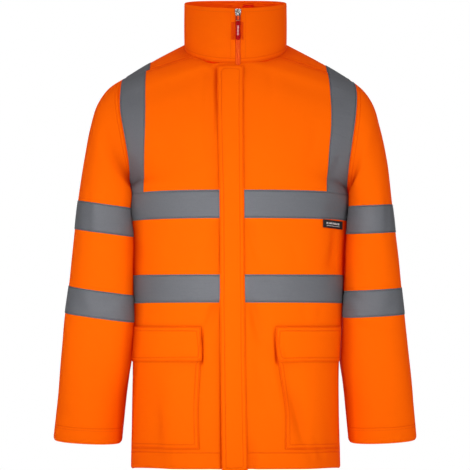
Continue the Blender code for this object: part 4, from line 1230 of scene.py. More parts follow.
def weave_effect():
    """Plain weave on the cloth's own map: thread crowns over and under."""
    made, given, result = effect(
        "weave", [("Map", "Vector", None), ("Threads per metre", "Float", 1500.0)],
        ["Height", "Slub"])
    scaled = made.add("ShaderNodeVectorMath",
                      {0: given["Map"], "Scale": given["Threads per metre"]}, operation="SCALE")
    split = made.add("ShaderNodeSeparateXYZ", {0: scaled.outputs[0]})
    warp, weft = (made.maths("SINE", made.maths("MULTIPLY", split.outputs[axis], math.pi))
                  for axis in (0, 1))
    made.join(made.maths("MULTIPLY_ADD", made.maths("MULTIPLY", warp, weft), 0.5, 0.5),
              result["Height"])
    streak = made.add("ShaderNodeVectorMath", {0: scaled.outputs[0], 1: (0.04, 0.9, 1.0)},
                      operation="MULTIPLY")
    made.join(made.noise(streak.outputs[0], 0.35, 2.0), result["Slub"])
    return made.tree


def mottle_effect():
    """Broad and fine unevenness of a surface, both from 0 to 1."""
    made, given, result = effect(
        "mottle", [("Place", "Vector", None), ("Broad size", "Float", 9.0),
                   ("Fine size", "Float", 90.0)], ["Broad", "Fine"])
    for label, roughness in (("Broad", 0.55), ("Fine", 0.6)):
        made.join(made.noise(given["Place"], given[label + " size"], 3.0, Roughness=roughness),
                  result[label])
    return made.tree


def pressed_effect():
    """A row of stitching at a distance from an edge: the groove that it pulls, and its painted
    shade.
    """
    made, given, result = effect(
        "stitched_in", [("Distance", "Float", 99.0), ("Stitching at", "Float", 2.0),
                        ("Half width", "Float", 0.9), ("Place", "Vector", None)],
        ["Height", "Shade"])
    ruffle = made.noise(given["Place"], 130.0, 2.0)
    away = made.maths("SUBTRACT", given["Distance"], given["Stitching at"])
    share = made.maths("DIVIDE", away, given["Half width"])
    groove = made.bell(share)
    halo = made.bell(made.maths("MULTIPLY", share, 0.28))
    waves = made.maths("MULTIPLY", halo, made.maths("SUBTRACT", ruffle, 0.5))
    made.join(made.maths("MULTIPLY_ADD", waves, 1.1, made.maths("MULTIPLY", groove, -0.55)),
              result["Height"])
    made.join(made.maths("MULTIPLY", groove, 0.75), result["Shade"])
    return made.tree


def bead_effect():
    """Glass-bead surface: a fine grain, and cells that differ a little in brightness."""
    made, given, result = effect(
        "beads", [("Map", "Vector", None), ("Cells per metre", "Float", 900.0)],
        ["Grain", "Cell"])
    cells = made.add("ShaderNodeTexVoronoi",
                     {"Vector": given["Map"], "Scale": given["Cells per metre"]})
    tint = made.add("ShaderNodeSeparateColor", {0: cells.outputs["Color"]})
    made.join(cells.outputs["Distance"], result["Grain"])
    made.join(tint.outputs[0], result["Cell"])
    return made.tree


def finish(name, shade, broad_size=9.0, fine_size=90.0):
    """Material with plain values on its Principled shader, and a mottle over its piece."""
    material = bpy.data.materials.new(name)
    material.use_nodes = True
    shader = material.node_tree.nodes["Principled BSDF"].inputs
    for socket, value in shade.items():
        shader[socket].default_value = value
    made = Tree(material.node_tree)
    place = made.add("ShaderNodeTexCoord").outputs["Object"]
    mottle = made.effect("mottle", Place=place, Broad_size=broad_size, Fine_size=fine_size)
    return material, made, shader, place, mottle


def tinted(colour, *shares):
    return tuple(channel * share for channel, share in zip(colour, shares)) + (1.0,)


def cloth_finish(name, light, deep, emission, shade, stitched=(), threads_per_metre=1500.0,
                 gap_shade_share=1.0):
    """Woven cloth: weave, uneven tone, and grooves at (attribute, distance, half width), with
    painted shade in the grooves and in the gaps between pieces.
    """
    material, made, shader, place, mottle = finish(name, shade)
    cloth_map = made.add("ShaderNodeUVMap", uv_map="cloth").outputs[0]
    weave = made.effect("weave", Map=cloth_map, Threads_per_metre=threads_per_metre)
    tone = made.maths("ADD", made.maths("MULTIPLY", mottle["Broad"], 0.6),
                      made.maths("MULTIPLY", weave["Slub"], 0.4))
    colour = made.mix(tone, light, deep)
    height = made.maths("MULTIPLY", mottle["Fine"], 0.25)
    shadow = None
    for attribute, distance, half_width in stitched:
        away = made.add("ShaderNodeAttribute", attribute_name=attribute).outputs["Fac"]
        row = made.effect("stitched_in", Distance=away, Stitching_at=distance,
                          Half_width=half_width, Place=place)
        height = made.maths("ADD", height, row["Height"])
        shadow = row["Shade"] if shadow is None else made.maths("MAXIMUM", shadow, row["Shade"])
    # Painted shade: darker colour along each stitched groove and along the seam lines themselves.
    if shadow is not None:
        colour = made.mix(shadow, colour, tinted(deep, 0.82, 0.66, 0.6))
    # Painted shade: where other cloth is near, the colour is darkened and the cloth's glow, itself
    # painted light, is dimmed, as shade falls in the gaps between pieces.
    around = made.add("ShaderNodeAmbientOcclusion", {"Distance": GAP_SHADE_REACH}, samples=8)
    closed_in = made.maths("POWER", made.maths("SUBTRACT", 1.0, around.outputs["AO"]), 0.9)
    gap = made.maths("MULTIPLY", closed_in, gap_shade_share)
    made.join(made.mix(gap, colour, tinted(deep, 0.62, 0.30, 0.5)), shader["Base Color"])
    if emission is not None:
        dim = made.maths("MULTIPLY_ADD", mottle["Broad"], 0.15, made.maths("MULTIPLY", gap, 0.85))
        glow = made.mix(dim, emission, tinted(emission, 0.45, 0.45, 0.45))
        made.join(glow, shader["Emission Color"])
    made.join(made.maths("MULTIPLY_ADD", mottle["Fine"], 0.12, shade["Roughness"] - 0.06),
              shader["Roughness"])
    broad = made.bump(shader, height, 0.9, 0.8)
    made.bump(shader, weave["Height"], 0.05, 0.6, Normal=broad)
    return material


def reflective_tape():
    material, made, shader, place, mottle = finish(
        "reflective_tape", {"Metallic": 0.22, "Specular IOR Level": 0.25}, 14.0, 160.0)
    cloth_map = made.add("ShaderNodeUVMap", uv_map="cloth").outputs[0]
    beads = made.effect("beads", Map=cloth_map)
    tone = made.maths("ADD", made.maths("MULTIPLY", beads["Cell"], 0.35),
                      made.maths("MULTIPLY", mottle["Broad"], 0.65))
    colour = made.mix(tone, (0.146, 0.150, 0.165, 1.0), (0.118, 0.121, 0.134, 1.0))
    away = made.add("ShaderNodeAttribute", attribute_name="sewn").outputs["Fac"]
    row = made.effect("stitched_in", Distance=away, Stitching_at=TAPE_STITCH, Half_width=0.7,
                      Place=place)
    # Painted shade: darker colour along the tape's stitched grooves.
    made.join(made.mix(row["Shade"], colour, (0.075, 0.076, 0.085, 1.0)), shader["Base Color"])
    made.join(made.maths("MULTIPLY_ADD", mottle["Fine"], 0.16, 0.58), shader["Roughness"])
    stretch = made.add("ShaderNodeMapping", {"Vector": cloth_map, "Scale": (14.0, 75.0, 1.0)})
    ripple = made.noise(stretch.outputs[0], 1.0, 3.0, Roughness=0.55, Distortion=0.6)
    rippled = made.maths("MULTIPLY_ADD", ripple, 0.9, row["Height"])
    broad = made.bump(shader, rippled, 1.5, 0.9)
    made.bump(shader, beads["Grain"], 0.06, 0.5, Normal=broad)
    return material


def mottled(name, kind, light, deep, glow=None):
    """Plain finish of a kind: its colour and roughness vary a little, over a fine grain."""
    shade, sizes, tone, (rough, share, base), grain = FINISH_KINDS[kind]
    if glow is not None:
        shade = shade | {"Emission Color": (*glow, 1.0), "Emission Strength": 0.3}
    material, made, shader, _, mottle = finish(name, shade, *sizes)
    made.join(made.mix(mottle[tone], (*light, 1.0), (*deep, 1.0)), shader["Base Color"])
    made.join(made.maths("MULTIPLY_ADD", mottle[rough], share, base), shader["Roughness"])
    made.bump(shader, mottle["Fine"], *grain)
    return material


# ---- Pieces of cloth ----
def closer(places, low, high, count):
    """Places along a surface, with a closer run of them from low to high."""
    kept = places[(places < low - 0.02) | (places > high + 0.02)]
    return np.sort(np.concatenate((kept, np.linspace(low, high, count))))


def panel_cloth(name, surface, columns, node, rests_on, sewn, **first_column):
    """A front or the back, hemmed below; its pressed seams are those of the borders in sewn."""
    rows = closer(surface.rows_between(0, surface.rows), 0.0, 0.3, 7)
    cut = surface.patch(rows, columns)
    cut = on_border(cut, "first_row", hem, depth=BODY_HEM_ROWS)
    cut = on_border(cut, "last_row", seam)
    cut = on_border(cut, "first_column", seam, **first_column)
    cut = on_border(cut, "last_column", seam)
    sewn = dict.fromkeys(sewn, SEAM_CREST)
    sheet(name, cut, SHELL, "orange_cloth", node, "hung", [rests_on], sewn=sewn,
          hemmed={"first_row": BODY_HEM_ROWS + HEM_CREST})


def make_body():
    panel_cloth("back_cloth", BACK, BACK.columns_between(0, BACK.columns), "back", "collar_cloth",
                ("last_row", "last_column", "first_column"))
    for side, surface in FRONTS.items():
        columns = surface.columns_between(0, surface.columns)
        if side == RIGHT:
            columns = closer(columns, 1.1, 2.0, 15)
        columns = closer(columns, 2.6, 3.2, 11)
        node = f"front_{SIDE_NAME[side]}"
        panel_cloth(node + "_cloth", surface, columns, node, "back_cloth",
                    ("last_row", "last_column"), gap=0.0, roll=1.1)


def make_sleeves():
    for side, surface in SLEEVE_SURFACES.items():
        name = SIDE_NAME[side]
        cloth = f"sleeve_{name}_cloth"
        around = surface.columns_between(0, surface.columns)[:-1]
        cut = surface.patch(surface.rows_between(0, surface.rows), around)
        cut = on_border(cut, "first_row", seam, roll=0.8, gap=-1.2)
        cut = on_border(cut, "last_row", hem, depth=CUFF_HEM_ROWS)
        nodes = f"sleeve_{name}_upper", f"sleeve_{name}_lower"
        sheet(cloth, cut, SHELL, "orange_cloth", nodes, "hung",
              ["back_cloth", f"front_{name}_cloth"], closed=True,
              sewn={"first_row": SEAM_CREST}, hemmed={"last_row": CUFF_HEM_ROWS + HEM_CREST})
        names = [ring["name"] for ring in sleeve_rings(side)]
        for band, (top, bottom) in SLEEVE_BANDS.items():
            rows = surface.rows_between(names.index(top), names.index(bottom), TAPE_SPACING)
            cut = surface.patch(rows, around, tape_lift(len(rows))[:, None])
            tape(f"sleeve_band_{band}_{name}", cut, "stretched", cloth, ("first_row", "last_row"),
                 closed=True)
            stitch_tape(*cut[:2], closed=True)


def tape_lift(count):
    """Lift across a tape: it lies closest where it is sewn, near both edges."""
    low, high = TAPE_LIFTS
    away = np.minimum(np.arange(count), np.arange(count)[::-1]) / max(1, (count - 1) / 2)
    return low + (high - low) * np.minimum(1.0, away * 4.0) ** 0.7


def stitch_tape(points, normals, closed=False):
    """Grey thread along a tape's long edges, which are the first and last row of the arrays."""
    for edge, inner in ((0, 1), (-1, -2)):
        line = points[edge] + unit(points[inner] - points[edge]) * TAPE_STITCH
        facing = normals[edge]
        if closed:
            line, facing = (np.concatenate((array, array[:1])) for array in (line, facing))
        THREAD_LINES["grey"].append((line, facing))


def make_bands():
    for name, (low, high) in BANDS.items():
        low, high = row_index("front", low), row_index("front", high)
        for side, surface in (*FRONTS.items(), (None, BACK)):
            place, cloth = "back", "back_cloth"
            if side:
                place, cloth = SIDE_NAME[side], f"front_{SIDE_NAME[side]}_cloth"
            rows = surface.rows_between(low, high, TAPE_SPACING)
            columns = surface.columns_between(0, surface.columns)
            cut = surface.patch(rows, columns, tape_lift(len(rows))[:, None])
            stitch_tape(*cut[:2])
            for border in ("first_column", "last_column"):
                cut = on_border(cut, border, seam, roll=0.4, tuck=0.4)
            tape(f"{name}_band_{place}", cut, "laid", cloth, ("first_row", "last_row"))


def make_shoulder_tapes():
    """Tapes from the chest band up to the shoulder seam, front and back."""
    for side in (RIGHT, LEFT):
        front, back_start = FRONTS[side], BACK.columns / 2 + side * TAPE_COLUMN
        back_end = BACK.columns if side > 0 else 0
        for facing, surface, start, end, width, cloth in (
                ("front", front, TAPE_COLUMN, front.columns, FRONT_TAPE_WIDTH[side],
                 f"front_{SIDE_NAME[side]}_cloth"),
                ("back", BACK, back_start, back_end, TAPE_WIDTH, "back_cloth")):
            rows = surface.rows_between(row_index(facing, "chest_top"), surface.rows)
            columns = [np.linspace(start, surface.column_after(row, start, end, width),
                                   SHOULDER_TAPE_COLUMNS) for row in rows]
            points, normals = surface.at(rows[:, None], columns, tape_lift(SHOULDER_TAPE_COLUMNS))
            points[:, -1] += unit(points[:, -2] - points[:, -1]) * TAPE_INSET
            stitch_tape(points.swapaxes(0, 1), normals.swapaxes(0, 1))
            cut = points, normals, np.ones(points.shape[:2])
            cut = on_border(cut, "first_row", seam, roll=0.4, tuck=0.3)
            cut = on_border(cut, "last_row", seam, roll=0.4, tuck=0.4)
            tape(f"shoulder_tape_{facing}_{SIDE_NAME[side]}", cut, "laid", cloth,
                 ("first_column", "last_column"))


def crown(count):
    """Rise of a filled pouch over its width, steep beside its edges."""
    return np.sin(np.linspace(0, math.pi, count)) ** 0.55


def make_pockets():
    """Patch pockets, sewn down round three sides, under flaps that are sewn at the top."""
    low, flap_low, top = (row_index("front", name)
                          for name in ("pocket_bottom", "flap_bottom", "flap_top"))
    for side, surface in FRONTS.items():
        node = f"pocket_{SIDE_NAME[side]}"
        rows = surface.rows_between(low, top - 0.08)
        columns = surface.columns_between(*POCKET_COLUMNS)
        bulge = POCKET_BULGE * np.outer(crown(len(rows)), crown(len(columns)))
        pocket = cut = surface.patch(rows, columns, POCKET_LIFT + bulge)
        for border in BORDERS:
            cut = on_border(cut, border, seam, roll=0.8, tuck=0.35, gap=0.0)
        sheet(node + "_cloth", cut, 0.9, "orange_cloth", node, "laid",
              [f"front_{SIDE_NAME[side]}_cloth"], sewn=dict.fromkeys(THREE_SIDES, SEAM_CREST))
        stitch("orange", pocket, THREE_SIDES, *TOPSTITCHES)

        rows = surface.rows_between(flap_low, top, 3.2)
        columns = surface.columns_between(*POCKET_COLUMNS, 3.6)
        share = np.linspace(0, 1, len(rows))[:, None]
        away = np.linspace(0, 1, len(columns))[None, :]
        fill = np.interp(rows, (low, (low + top) / 2, top), (0, 1, 0))[:, None] ** 0.6
        pouch = POCKET_BULGE * fill * crown(len(columns))[None, :]
        # The flap stands off the filled pocket, its inner corner most, and waves a little.
        droop = (1 - share) ** 1.6
        lift = FLAP_LIFT - 1.3 * share ** 3 + 0.75 * pouch * (1 - share ** 4)
        lift = lift + droop * 2.6 * (1 - away) ** 5 - (1 - share) * 0.8 * away ** 8
        lift = lift + 0.35 * droop * np.sin(away * 9.0 + 0.8 * side)
        slant = FLAP_SLANT[side] * (1 - share) * (1 - away) ** 2
        points, normals = surface.at(rows[:, None], columns[None, :] + slant, lift)
        flap = rounded_corners(points, 3), normals, np.ones(lift.shape)
        flap_node = f"pocket_flap_{SIDE_NAME[side]}"
        sheet(flap_node + "_cloth", flap, 1.9, "orange_cloth", flap_node, "laid",
              [node + "_cloth"], edge=0.75, sewn=ALL_ROUND)
        stitch("orange", flap, THREE_SIDES, 6.0)
        stitch("orange", flap, ("last_row",), *TOPSTITCHES)


def rounded_corners(points, reach):
    """A flap's points, with the lower corners eased in by a few millimetres."""
    points = points.copy()
    for column, way in ((0, 1), (-1, -1)):
        for step in range(reach):
            amount = FLAP_CORNER * (1 - step / reach) ** 2
            points[step, column] += unit(points[step, column + way] - points[step, column]) * amount
            across = column + way * step
            points[0, across] += unit(points[1, across] - points[0, across]) * amount
    return points


def border_line(cut, border, inset):
    """Line over a cut at a distance from one border, and its normals, short of its ends."""
    points, normals = (facing_border(array, border) for array in cut[:2])
    place = np.interp(inset, mean_run(points), np.arange(len(points)))
    index = min(int(place), len(points) - 2)
    share = place - index
    line = points[index] * (1 - share) + points[index + 1] * share
    trim = max(1, int(inset / SPACING))
    return line[trim:-trim], normals[index][trim:-trim]


def stitch(thread, cut, borders, *insets):
    """Rows of thread along some borders of a cut, at distances from them."""
    for inset in insets:
        THREAD_LINES[thread] += [border_line(cut, border, inset) for border in borders]


def make_collar():
    rows = COLLAR.rows_between(0, COLLAR.rows, 3.6)
    columns = COLLAR.columns_between(0, COLLAR.columns, 3.8)
    lift = 0.5 * np.sin(np.pi * np.linspace(0, 1, len(rows)))[:, None]
    flat = COLLAR.patch(rows, columns, lift)
    cut = on_border(flat, "first_row", seam, gap=0.0)
    cut = on_border(cut, "last_row", hem, roll=COLLAR_ROLL, depth=len(rows) - 2)
    for border in ("first_column", "last_column"):
        cut = on_border(cut, border, seam, roll=COLLAR_ROLL - 0.15, gap=0.0, tuck=0.0)
    sheet("collar_cloth", cut, SHELL, "orange_cloth", "collar", "folded", ["back_cloth"],
          sewn={"first_row": SEAM_CREST})
    stitch("orange", flat, ("last_row",), 6.0)
    stitch("orange", flat, ("first_row",), 3.0)
    # The dark red thread beside the pull also paints the pull's shadow on the collar's edges.
    for border, insets in PULL_TACK_AND_SHADOW_ROWS.items():
        stitch("orange", flat, (border,), 8.5)
        for inset in insets:
            line, facing = border_line(flat, border, inset)
            beside = (line[:, 2] > PULL_TACKS_AND_SHADOW[0]) & (line[:, 2] < PULL_TACKS_AND_SHADOW[1])
            THREAD_LINES["coil"].append((line[beside], facing[beside]))


def make_storm_flap():
    """Flap over the zip, with a level top, that stands off most at its free edge."""
    low = row_index("front", "yoke")
    tops, rows = np.linspace(low, STORM.rows, 80), STORM.rows_between(0, STORM.rows, 3.8)
    columns = STORM.columns_between(0, STORM.columns, 3.6)
    heights = STORM.at(tops[:, None], columns[None, :])[0][..., 2]
    reach = np.array([np.interp(FLAP_TOP, column, tops) for column in heights.T])
    share = np.clip((rows - low) / (STORM.rows - low), 0, 1)[:, None]
    places = np.where(share > 0, low + (reach[None, :] - low) * share, rows[:, None])
    away = np.linspace(0, 1, len(columns))[None, :]
    height = np.linspace(0, 1, len(rows))[:, None]
    lift = STORM_LIFT - 2.2 * away ** 2.5 + 0.5 * np.sin(np.pi * away)
    lift = lift + 0.3 * np.sin(height * 31.0) * (1 - away) ** 2 * (1 - height)
    cut = *STORM.at(places, columns[None, :], lift), np.ones(places.shape)
    sheet("storm_flap_cloth", cut, 2.0, "orange_cloth", "storm_flap", "laid",
          ["front_left_cloth", "front_right_cloth"], edge=0.8, sewn=ALL_ROUND)
    stitch("orange", cut, ("first_column",), 8.0)
    stitch("orange", cut, ("last_column",), 2.0)


def seam_stitches():
    """Rows of thread beside the seams and above the hems of the body and the sleeves."""
    lines = THREAD_LINES["orange"]
    for surface in FRONTS.values():
        rows = surface.rows_between(0, surface.rows)
        columns = surface.columns_between(0, surface.columns)
        upper = rows[rows > row_index("front", "underarm")]
        lines += [line_inside(surface, upper, surface.columns, inset) for inset in TOPSTITCHES]
        lines += [row_inside(surface, columns, surface.rows, -inset) for inset in TOPSTITCHES]
        lines += [row_inside(surface, columns, 0, BODY_HEM - 1.0),
                  line_inside(surface, rows, 0, 6.0)]
    lines.append(row_inside(BACK, BACK.columns_between(0, BACK.columns), 0, BODY_HEM - 1.0))
    for surface in SLEEVE_SURFACES.values():
        columns = surface.columns_between(0, surface.columns)
        lines.append(row_inside(surface, columns, surface.rows, 1.0 - CUFF_HEM))


def row_inside(surface, columns, start, distance):
    """Line over a surface that keeps its distance from its lowest or highest row."""
    way = 1 if distance > 0 else -1
    places = start + way * np.linspace(0, 1.2, 40)
    run = running(surface.at(places[:, None], columns[None, :])[0])
    rows = [np.interp(abs(distance), along, places * way) * way for along in run.T]
    return line_over(surface, rows, columns)


def line_inside(surface, rows, start, distance):
    """Line over a surface that keeps its distance from its first or last column."""
    way = -1 if start else 1
    places = start + way * np.linspace(0, 3.0, 60)
    runs = [running(surface.at(row, places)[0]) for row in rows]
    columns = [np.interp(distance, run, places * way) * way for run in runs]
    return line_over(surface, rows, columns)


def line_over(surface, rows, columns):
    points, normals = surface.at(rows, columns, 0.02)
    return points[1:-1], normals[1:-1]


def plate_over(name, cut, thickness):
    walled(new_piece(name, grid_mesh(name, cut), "pale_thread", "black_tag"), thickness)


def make_chest_tag():
    """Woven tag on the left front under the chest band, with plain pale bars and a line."""
    surface = FRONTS[LEFT]
    guess = row_index("front", "chest_bottom") - 0.5, TAPE_COLUMN + 0.5

    def tag_patch(x_shares, z_shares, lift):
        x_share, z_share = (np.linspace(*shares) for shares in (x_shares, z_shares))
        x = TAG_CORNER[0] + TAG_SIZE[0] * x_share[None, :] + 0 * z_share[:, None]
        z = TAG_CORNER[1] - TAG_LEAN * x_share[None, :] - TAG_SIZE[1] * (1 - z_share[:, None])
        return *surface.at(*surface.find(x, z, *guess), lift), np.ones(x.shape)

    cut = tag_patch((0, 1, 16), (0, 1, 8), 1.5)
    sheet("chest_tag_cloth", cut, 0.8, "black_tag", "chest_tag", "laid", ["front_left_cloth"],
          edge=0.25, sewn=ALL_ROUND)
    stitch("dark", cut, BORDERS, 1.5)
    start = TAG_MARGIN
    for index, width in enumerate(TAG_BARS):
        bar = tag_patch((start, start + width, 4), (0.50, 0.72, 3), 1.62)
        plate_over(f"tag_bar_{index}", bar, 0.2)
        start = start + width + 0.032
    line = tag_patch((TAG_MARGIN, 1 - TAG_MARGIN, 14), (0.27, 0.33, 3), 1.60)
    plate_over("tag_line", line, 0.18)


def make_neck_tag():
    """Folded label sewn inside the back of the collar."""
    x = np.linspace(NECK_TAG_X - NECK_TAG_SIZE[0] / 2, NECK_TAG_X + NECK_TAG_SIZE[0] / 2, 8)
    z = np.linspace(NECK_TAG_TOP - NECK_TAG_SIZE[1], NECK_TAG_TOP, 10)
    places = COLLAR.find(*np.meshgrid(x, z), 2.0, COLLAR.columns / 2 + 1.5)
    points, normals = COLLAR.at(*places, -NECK_TAG_DEPTH)
    cut = points, -normals, np.ones(points.shape[:2])
    sheet("neck_tag_cloth", cut, 0.8, "red_tag", "neck_tag", "laid", ["collar_cloth"], edge=0.25,
          sewn=ALL_ROUND)
    stitch("dark", cut, ("last_row",), 1.8)


# ---- Zip ----
def swept(name, rings, cyclic=False):
    """Closed mesh through a row of rings of the same number of points."""
    bm = bmesh.new()
    made = [[bm.verts.new(np.asarray(point) * MM) for point in ring] for ring in rings]
    for low, high in list(zip(made, made[1:])) + ([(made[-1], made[0])] if cyclic else []):
        for j in range(len(low)):
            k = (j + 1) % len(low)
            bm.faces.new((low[j], low[k], high[k], high[j]))
    if not cyclic:
        bm.faces.new(made[0][::-1])
        bm.faces.new(made[-1])
    bmesh.ops.recalc_face_normals(bm, faces=bm.faces)
    mesh = bpy.data.meshes.new(name)
    bm.to_mesh(mesh)
    bm.free()
    mesh.shade_smooth()
    return mesh


def wire_mesh(name, points, radius, cyclic=False, sides=12):
    """Round wire along a smooth line in a plane that holds the z axis."""
    before = np.roll(points, 1, axis=0) if cyclic else np.concatenate((points[:1], points[:-1]))
    after = np.roll(points, -1, axis=0) if cyclic else np.concatenate((points[1:], points[-1:]))
    spread = np.ptp(points, axis=0)
    flat = np.array((0, 1.0, 0)) if spread[1] <= spread[0] else np.array((1.0, 0, 0))
    turns = np.linspace(0, 2 * math.pi, sides, endpoint=False)
    rings = [[point + radius * (math.cos(turn) * flat + math.sin(turn) * side) for turn in turns]
             for point, side in zip(points, unit(np.cross(unit(after - before), flat)))]
    return swept(name, rings, cyclic)


def eased(points, cyclic, count):
    """Smooth line through some corners."""
    points = np.asarray(points, float)
    if cyclic:
        points = np.concatenate((points[-2:], points, points[:3]))
        return smooth(points, np.linspace(2, len(points) - 3, count, endpoint=False))
    return smooth(points, np.linspace(0, len(points) - 1, count))


def make_zip():
    """Two woven tapes that meet over a coil, from the hem to the slider."""
    rows = np.linspace(0, row_index("front", "neck_centre") - 0.6, 120)
    (right, right_face), (left, left_face) = (FRONTS[side].at(rows, 0.0) for side in (RIGHT, LEFT))
    low, high = ((COLLAR.at(row, 0.0)[0] + COLLAR.at(row, COLLAR.columns)[0]) / 2
                 for row in (0.0, COLLAR.rows))
    share = (SLIDER_BOX[1][2] - ZIP_BELOW_SLIDER_TOP - low[2]) / (high[2] - low[2])
    top = low + (high - low) * share
    path = np.concatenate(((right + left) / 2, np.linspace(low, top, 24)))
    facing = np.concatenate((right_face + left_face, np.repeat([[0, -2.0, 0]], 24, axis=0)))
    places = np.linspace(0, len(path) - 1, 260)
    path, facing = smooth(path, places), smooth(unit(facing * (0, 1, 1)), places)
    facing = unit(facing * (0, 1, 1))
    section = [(-x, depth) for x, depth in ZIP_HALF_SECTION] + list(ZIP_HALF_SECTION[::-1])
    points = np.array([[point + (x, 0, 0) + face * depth for x, depth in section]
                       for point, face in zip(path, facing)])
    normals = np.repeat(facing[:, None, :], len(section), axis=1)
    sheet("zip_tapes_cloth", (points, normals, np.ones(points.shape[:2])), 0.6, "zip_tape",
          "zip_chain", "laid", ["front_left_cloth", "front_right_cloth"])
    for thread, x, depth in (("coil", 1.55, 0.66), ("orange", 3.3, 0.72)):
        for across in (-x, x):
            THREAD_LINES[thread].append((path + (across, 0, 0) - facing * depth, facing))


def rounded_outline(corners, radius, steps=5):
    """Outline through corners, each rounded by a radius."""
    corners = [np.asarray(corner, float) for corner in corners]
    outline = []
    for index, corner in enumerate(corners):
        before, after = corners[index - 1], corners[(index + 1) % len(corners)]
        start = corner + unit(before - corner) * radius
        end = corner + unit(after - corner) * radius
        for t in np.linspace(0, 1, steps):
            outline.append((1 - t) ** 2 * start + 2 * t * (1 - t) * corner + t * t * end)
    return outline


def plate(name, outline, near, far, soft, segments=3, material="nickel", node_slot="nickel",
          part="jacket", replaces=()):
    """Flat plate with an outline (x, z), between two depths, with softened edges."""
    mesh = swept(name, [[(x, depth, z) for x, z in outline] for depth in (near, far)])
    softened(new_piece(name, mesh, material, node_slot, part, replaces), soft, segments)


def make_slider():
    """Slider: two shield-shaped plates joined by a wedge, side rails, and the pull's bridge."""
    low, high = SLIDER_BOX
    x, top, bottom, front, rear = ZIP_X, high[2], low[2], SLIDER_FRONT, high[1]
    waist = bottom + 0.55 * (top - bottom)
    half = [(2.2, top), (5.5, top - 0.5), (5.6, waist), (4.1, bottom + 1.2), (3.2, bottom)]
    shield = [(x - 5.5, top - 0.5), (x - 2.2, top)] + [(x + across, z) for across, z in half]
    shield += [(x - across, z) for across, z in half[:1:-1]]
    shield = rounded_outline(shield, 0.75)
    plate("slider_front", shield, front, front + 1.3, 0.38, replaces=("zip_slider",))
    middle = np.array((x, (top + bottom) / 2))
    inner = [middle + (point - middle) * (0.66, 0.7) for point in shield]
    plate("slider_face", inner, front - 0.45, front + 0.2, 0.35)
    plate("slider_rear", shield, rear - 1.3, rear, 0.38)
    wedge = [(x - 1.9, top - 0.7), (x + 1.9, top - 0.7), (x + 0.7, top - 3.8), (x - 0.7, top - 3.8)]
    plate("slider_wedge", rounded_outline(wedge, 0.5), front + 0.9, rear - 0.9, 0.2, 2)
    for side in (RIGHT, LEFT):
        rail = [(x + side * across, z) for across, z in
                ((5.5, top - 1.3), (4.75, top - 1.3), (4.1, bottom + 2.2), (4.6, bottom + 2.2))]
        plate("slider_rail_" + SIDE_NAME[side], rounded_outline(rail, 0.3), front + 1.0,
              front + 2.1, 0.18, 2)
    foot, head, out = bottom + 1.0, top - 1.5, low[1] + 0.95
    rise = ((front + 0.5, 0.0), (out + 1.3, 0.1), (out + 0.25, 0.9), (out, 2.4))
    line = [(x, y, foot + up) for y, up in rise] + [(x, y, head - up) for y, up in rise[::-1]]
    bridge = wire_mesh("slider_bridge", eased(line, False, 40), 0.95)
    new_piece("slider_bridge", bridge, "nickel", "nickel")


def make_pull():
    """Wire link on the slider's bridge, and the moulded grip on it."""
    x, y, z = PIVOT
    half, drop = PULL_LINK_WIDTH / 2 - PULL_WIRE, PULL_LINK_LENGTH
    down = ((half - 1.1, 0.0), (half - 0.1, 1.2), (half, 3.2), (half, drop / 2),
            (half, drop - 3.2), (half - 0.1, drop - 1.2), (half - 1.1, drop))
    link = [(1.1 - half, 0.0), (0.0, -0.05), *down, (0.0, drop)]
    link += [(-across, fall) for across, fall in down[:0:-1]]
    link = eased([(x + across, y, z - fall) for across, fall in link], True, 72)
    new_piece("pull_wire", wire_mesh("pull_wire", link, PULL_WIRE, cyclic=True), "worn_nickel",
              "nickel", "pull", replaces=("pull_link",))
    low, high = (np.array(corner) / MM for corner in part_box("pull_grip"))
    (x, y, _), (wide, deep, _), top = (low + high) / 2, (high - low) / 2, high[2]
    rings = [[(x + wide * wide_share * power_cosine(angle, 5.0),
               y - deep * deep_share * power_sine(angle, 3.2), top - down)
              for angle in np.linspace(0, 360, 40, endpoint=False)]
             for down, wide_share, deep_share in GRIP_SECTIONS]
    grip = new_piece("pull_grip_moulded", swept("pull_grip_moulded", rings), "red_rubber",
                     "red_rubber", "pull", replaces=("pull_grip",))
    rounding = grip.modifiers.new("round", "SUBSURF")
    rounding.levels = rounding.render_levels = 2
    eye = [(x + across, y, top + up) for across, up in
           ((-1.5, -1.4), (-1.5, 0.6), (-0.9, 1.75), (0.9, 1.75), (1.5, 0.6), (1.5, -1.4))]
    new_piece("pull_grip_eye", wire_mesh("pull_grip_eye", eased(eye, False, 28), 0.62, sides=10),
              "red_rubber", "red_rubber", "pull")
    for index in range(GRIP_RIBS):
        z = top - 8.4 - index * 2.55
        rib = [(x - 1.75, z), (x + 1.75, z), (x + 1.75, z - 1.5), (x - 1.75, z - 1.5)]
        plate(f"grip_rib_{index}", rounded_outline(rib, 0.45, 4), low[1] - 0.12, low[1] + 0.5, 0.2,
              2, "pale_rubber", "red_rubber", "pull")


# ---- Light and camera ----
def make_light(name, place, aim, size, power, spread):
    light = bpy.data.lights.new(name, "AREA")
    light.shape = "RECTANGLE"
    light.size, light.size_y = size
    light.energy = power
    light.spread = math.radians(spread)
    obj = bpy.data.objects.new(name, light)
    obj.location = place
    run = np.array(aim) - np.array(place)
    yaw = math.atan2(run[1], run[0]) - math.pi / 2
    pitch = math.atan2(run[2], math.hypot(run[0], run[1]))
    obj.rotation_euler = (math.pi / 2 + pitch, 0, yaw)
    obj.visible_camera = False
    bpy.context.scene.collection.objects.link(obj)


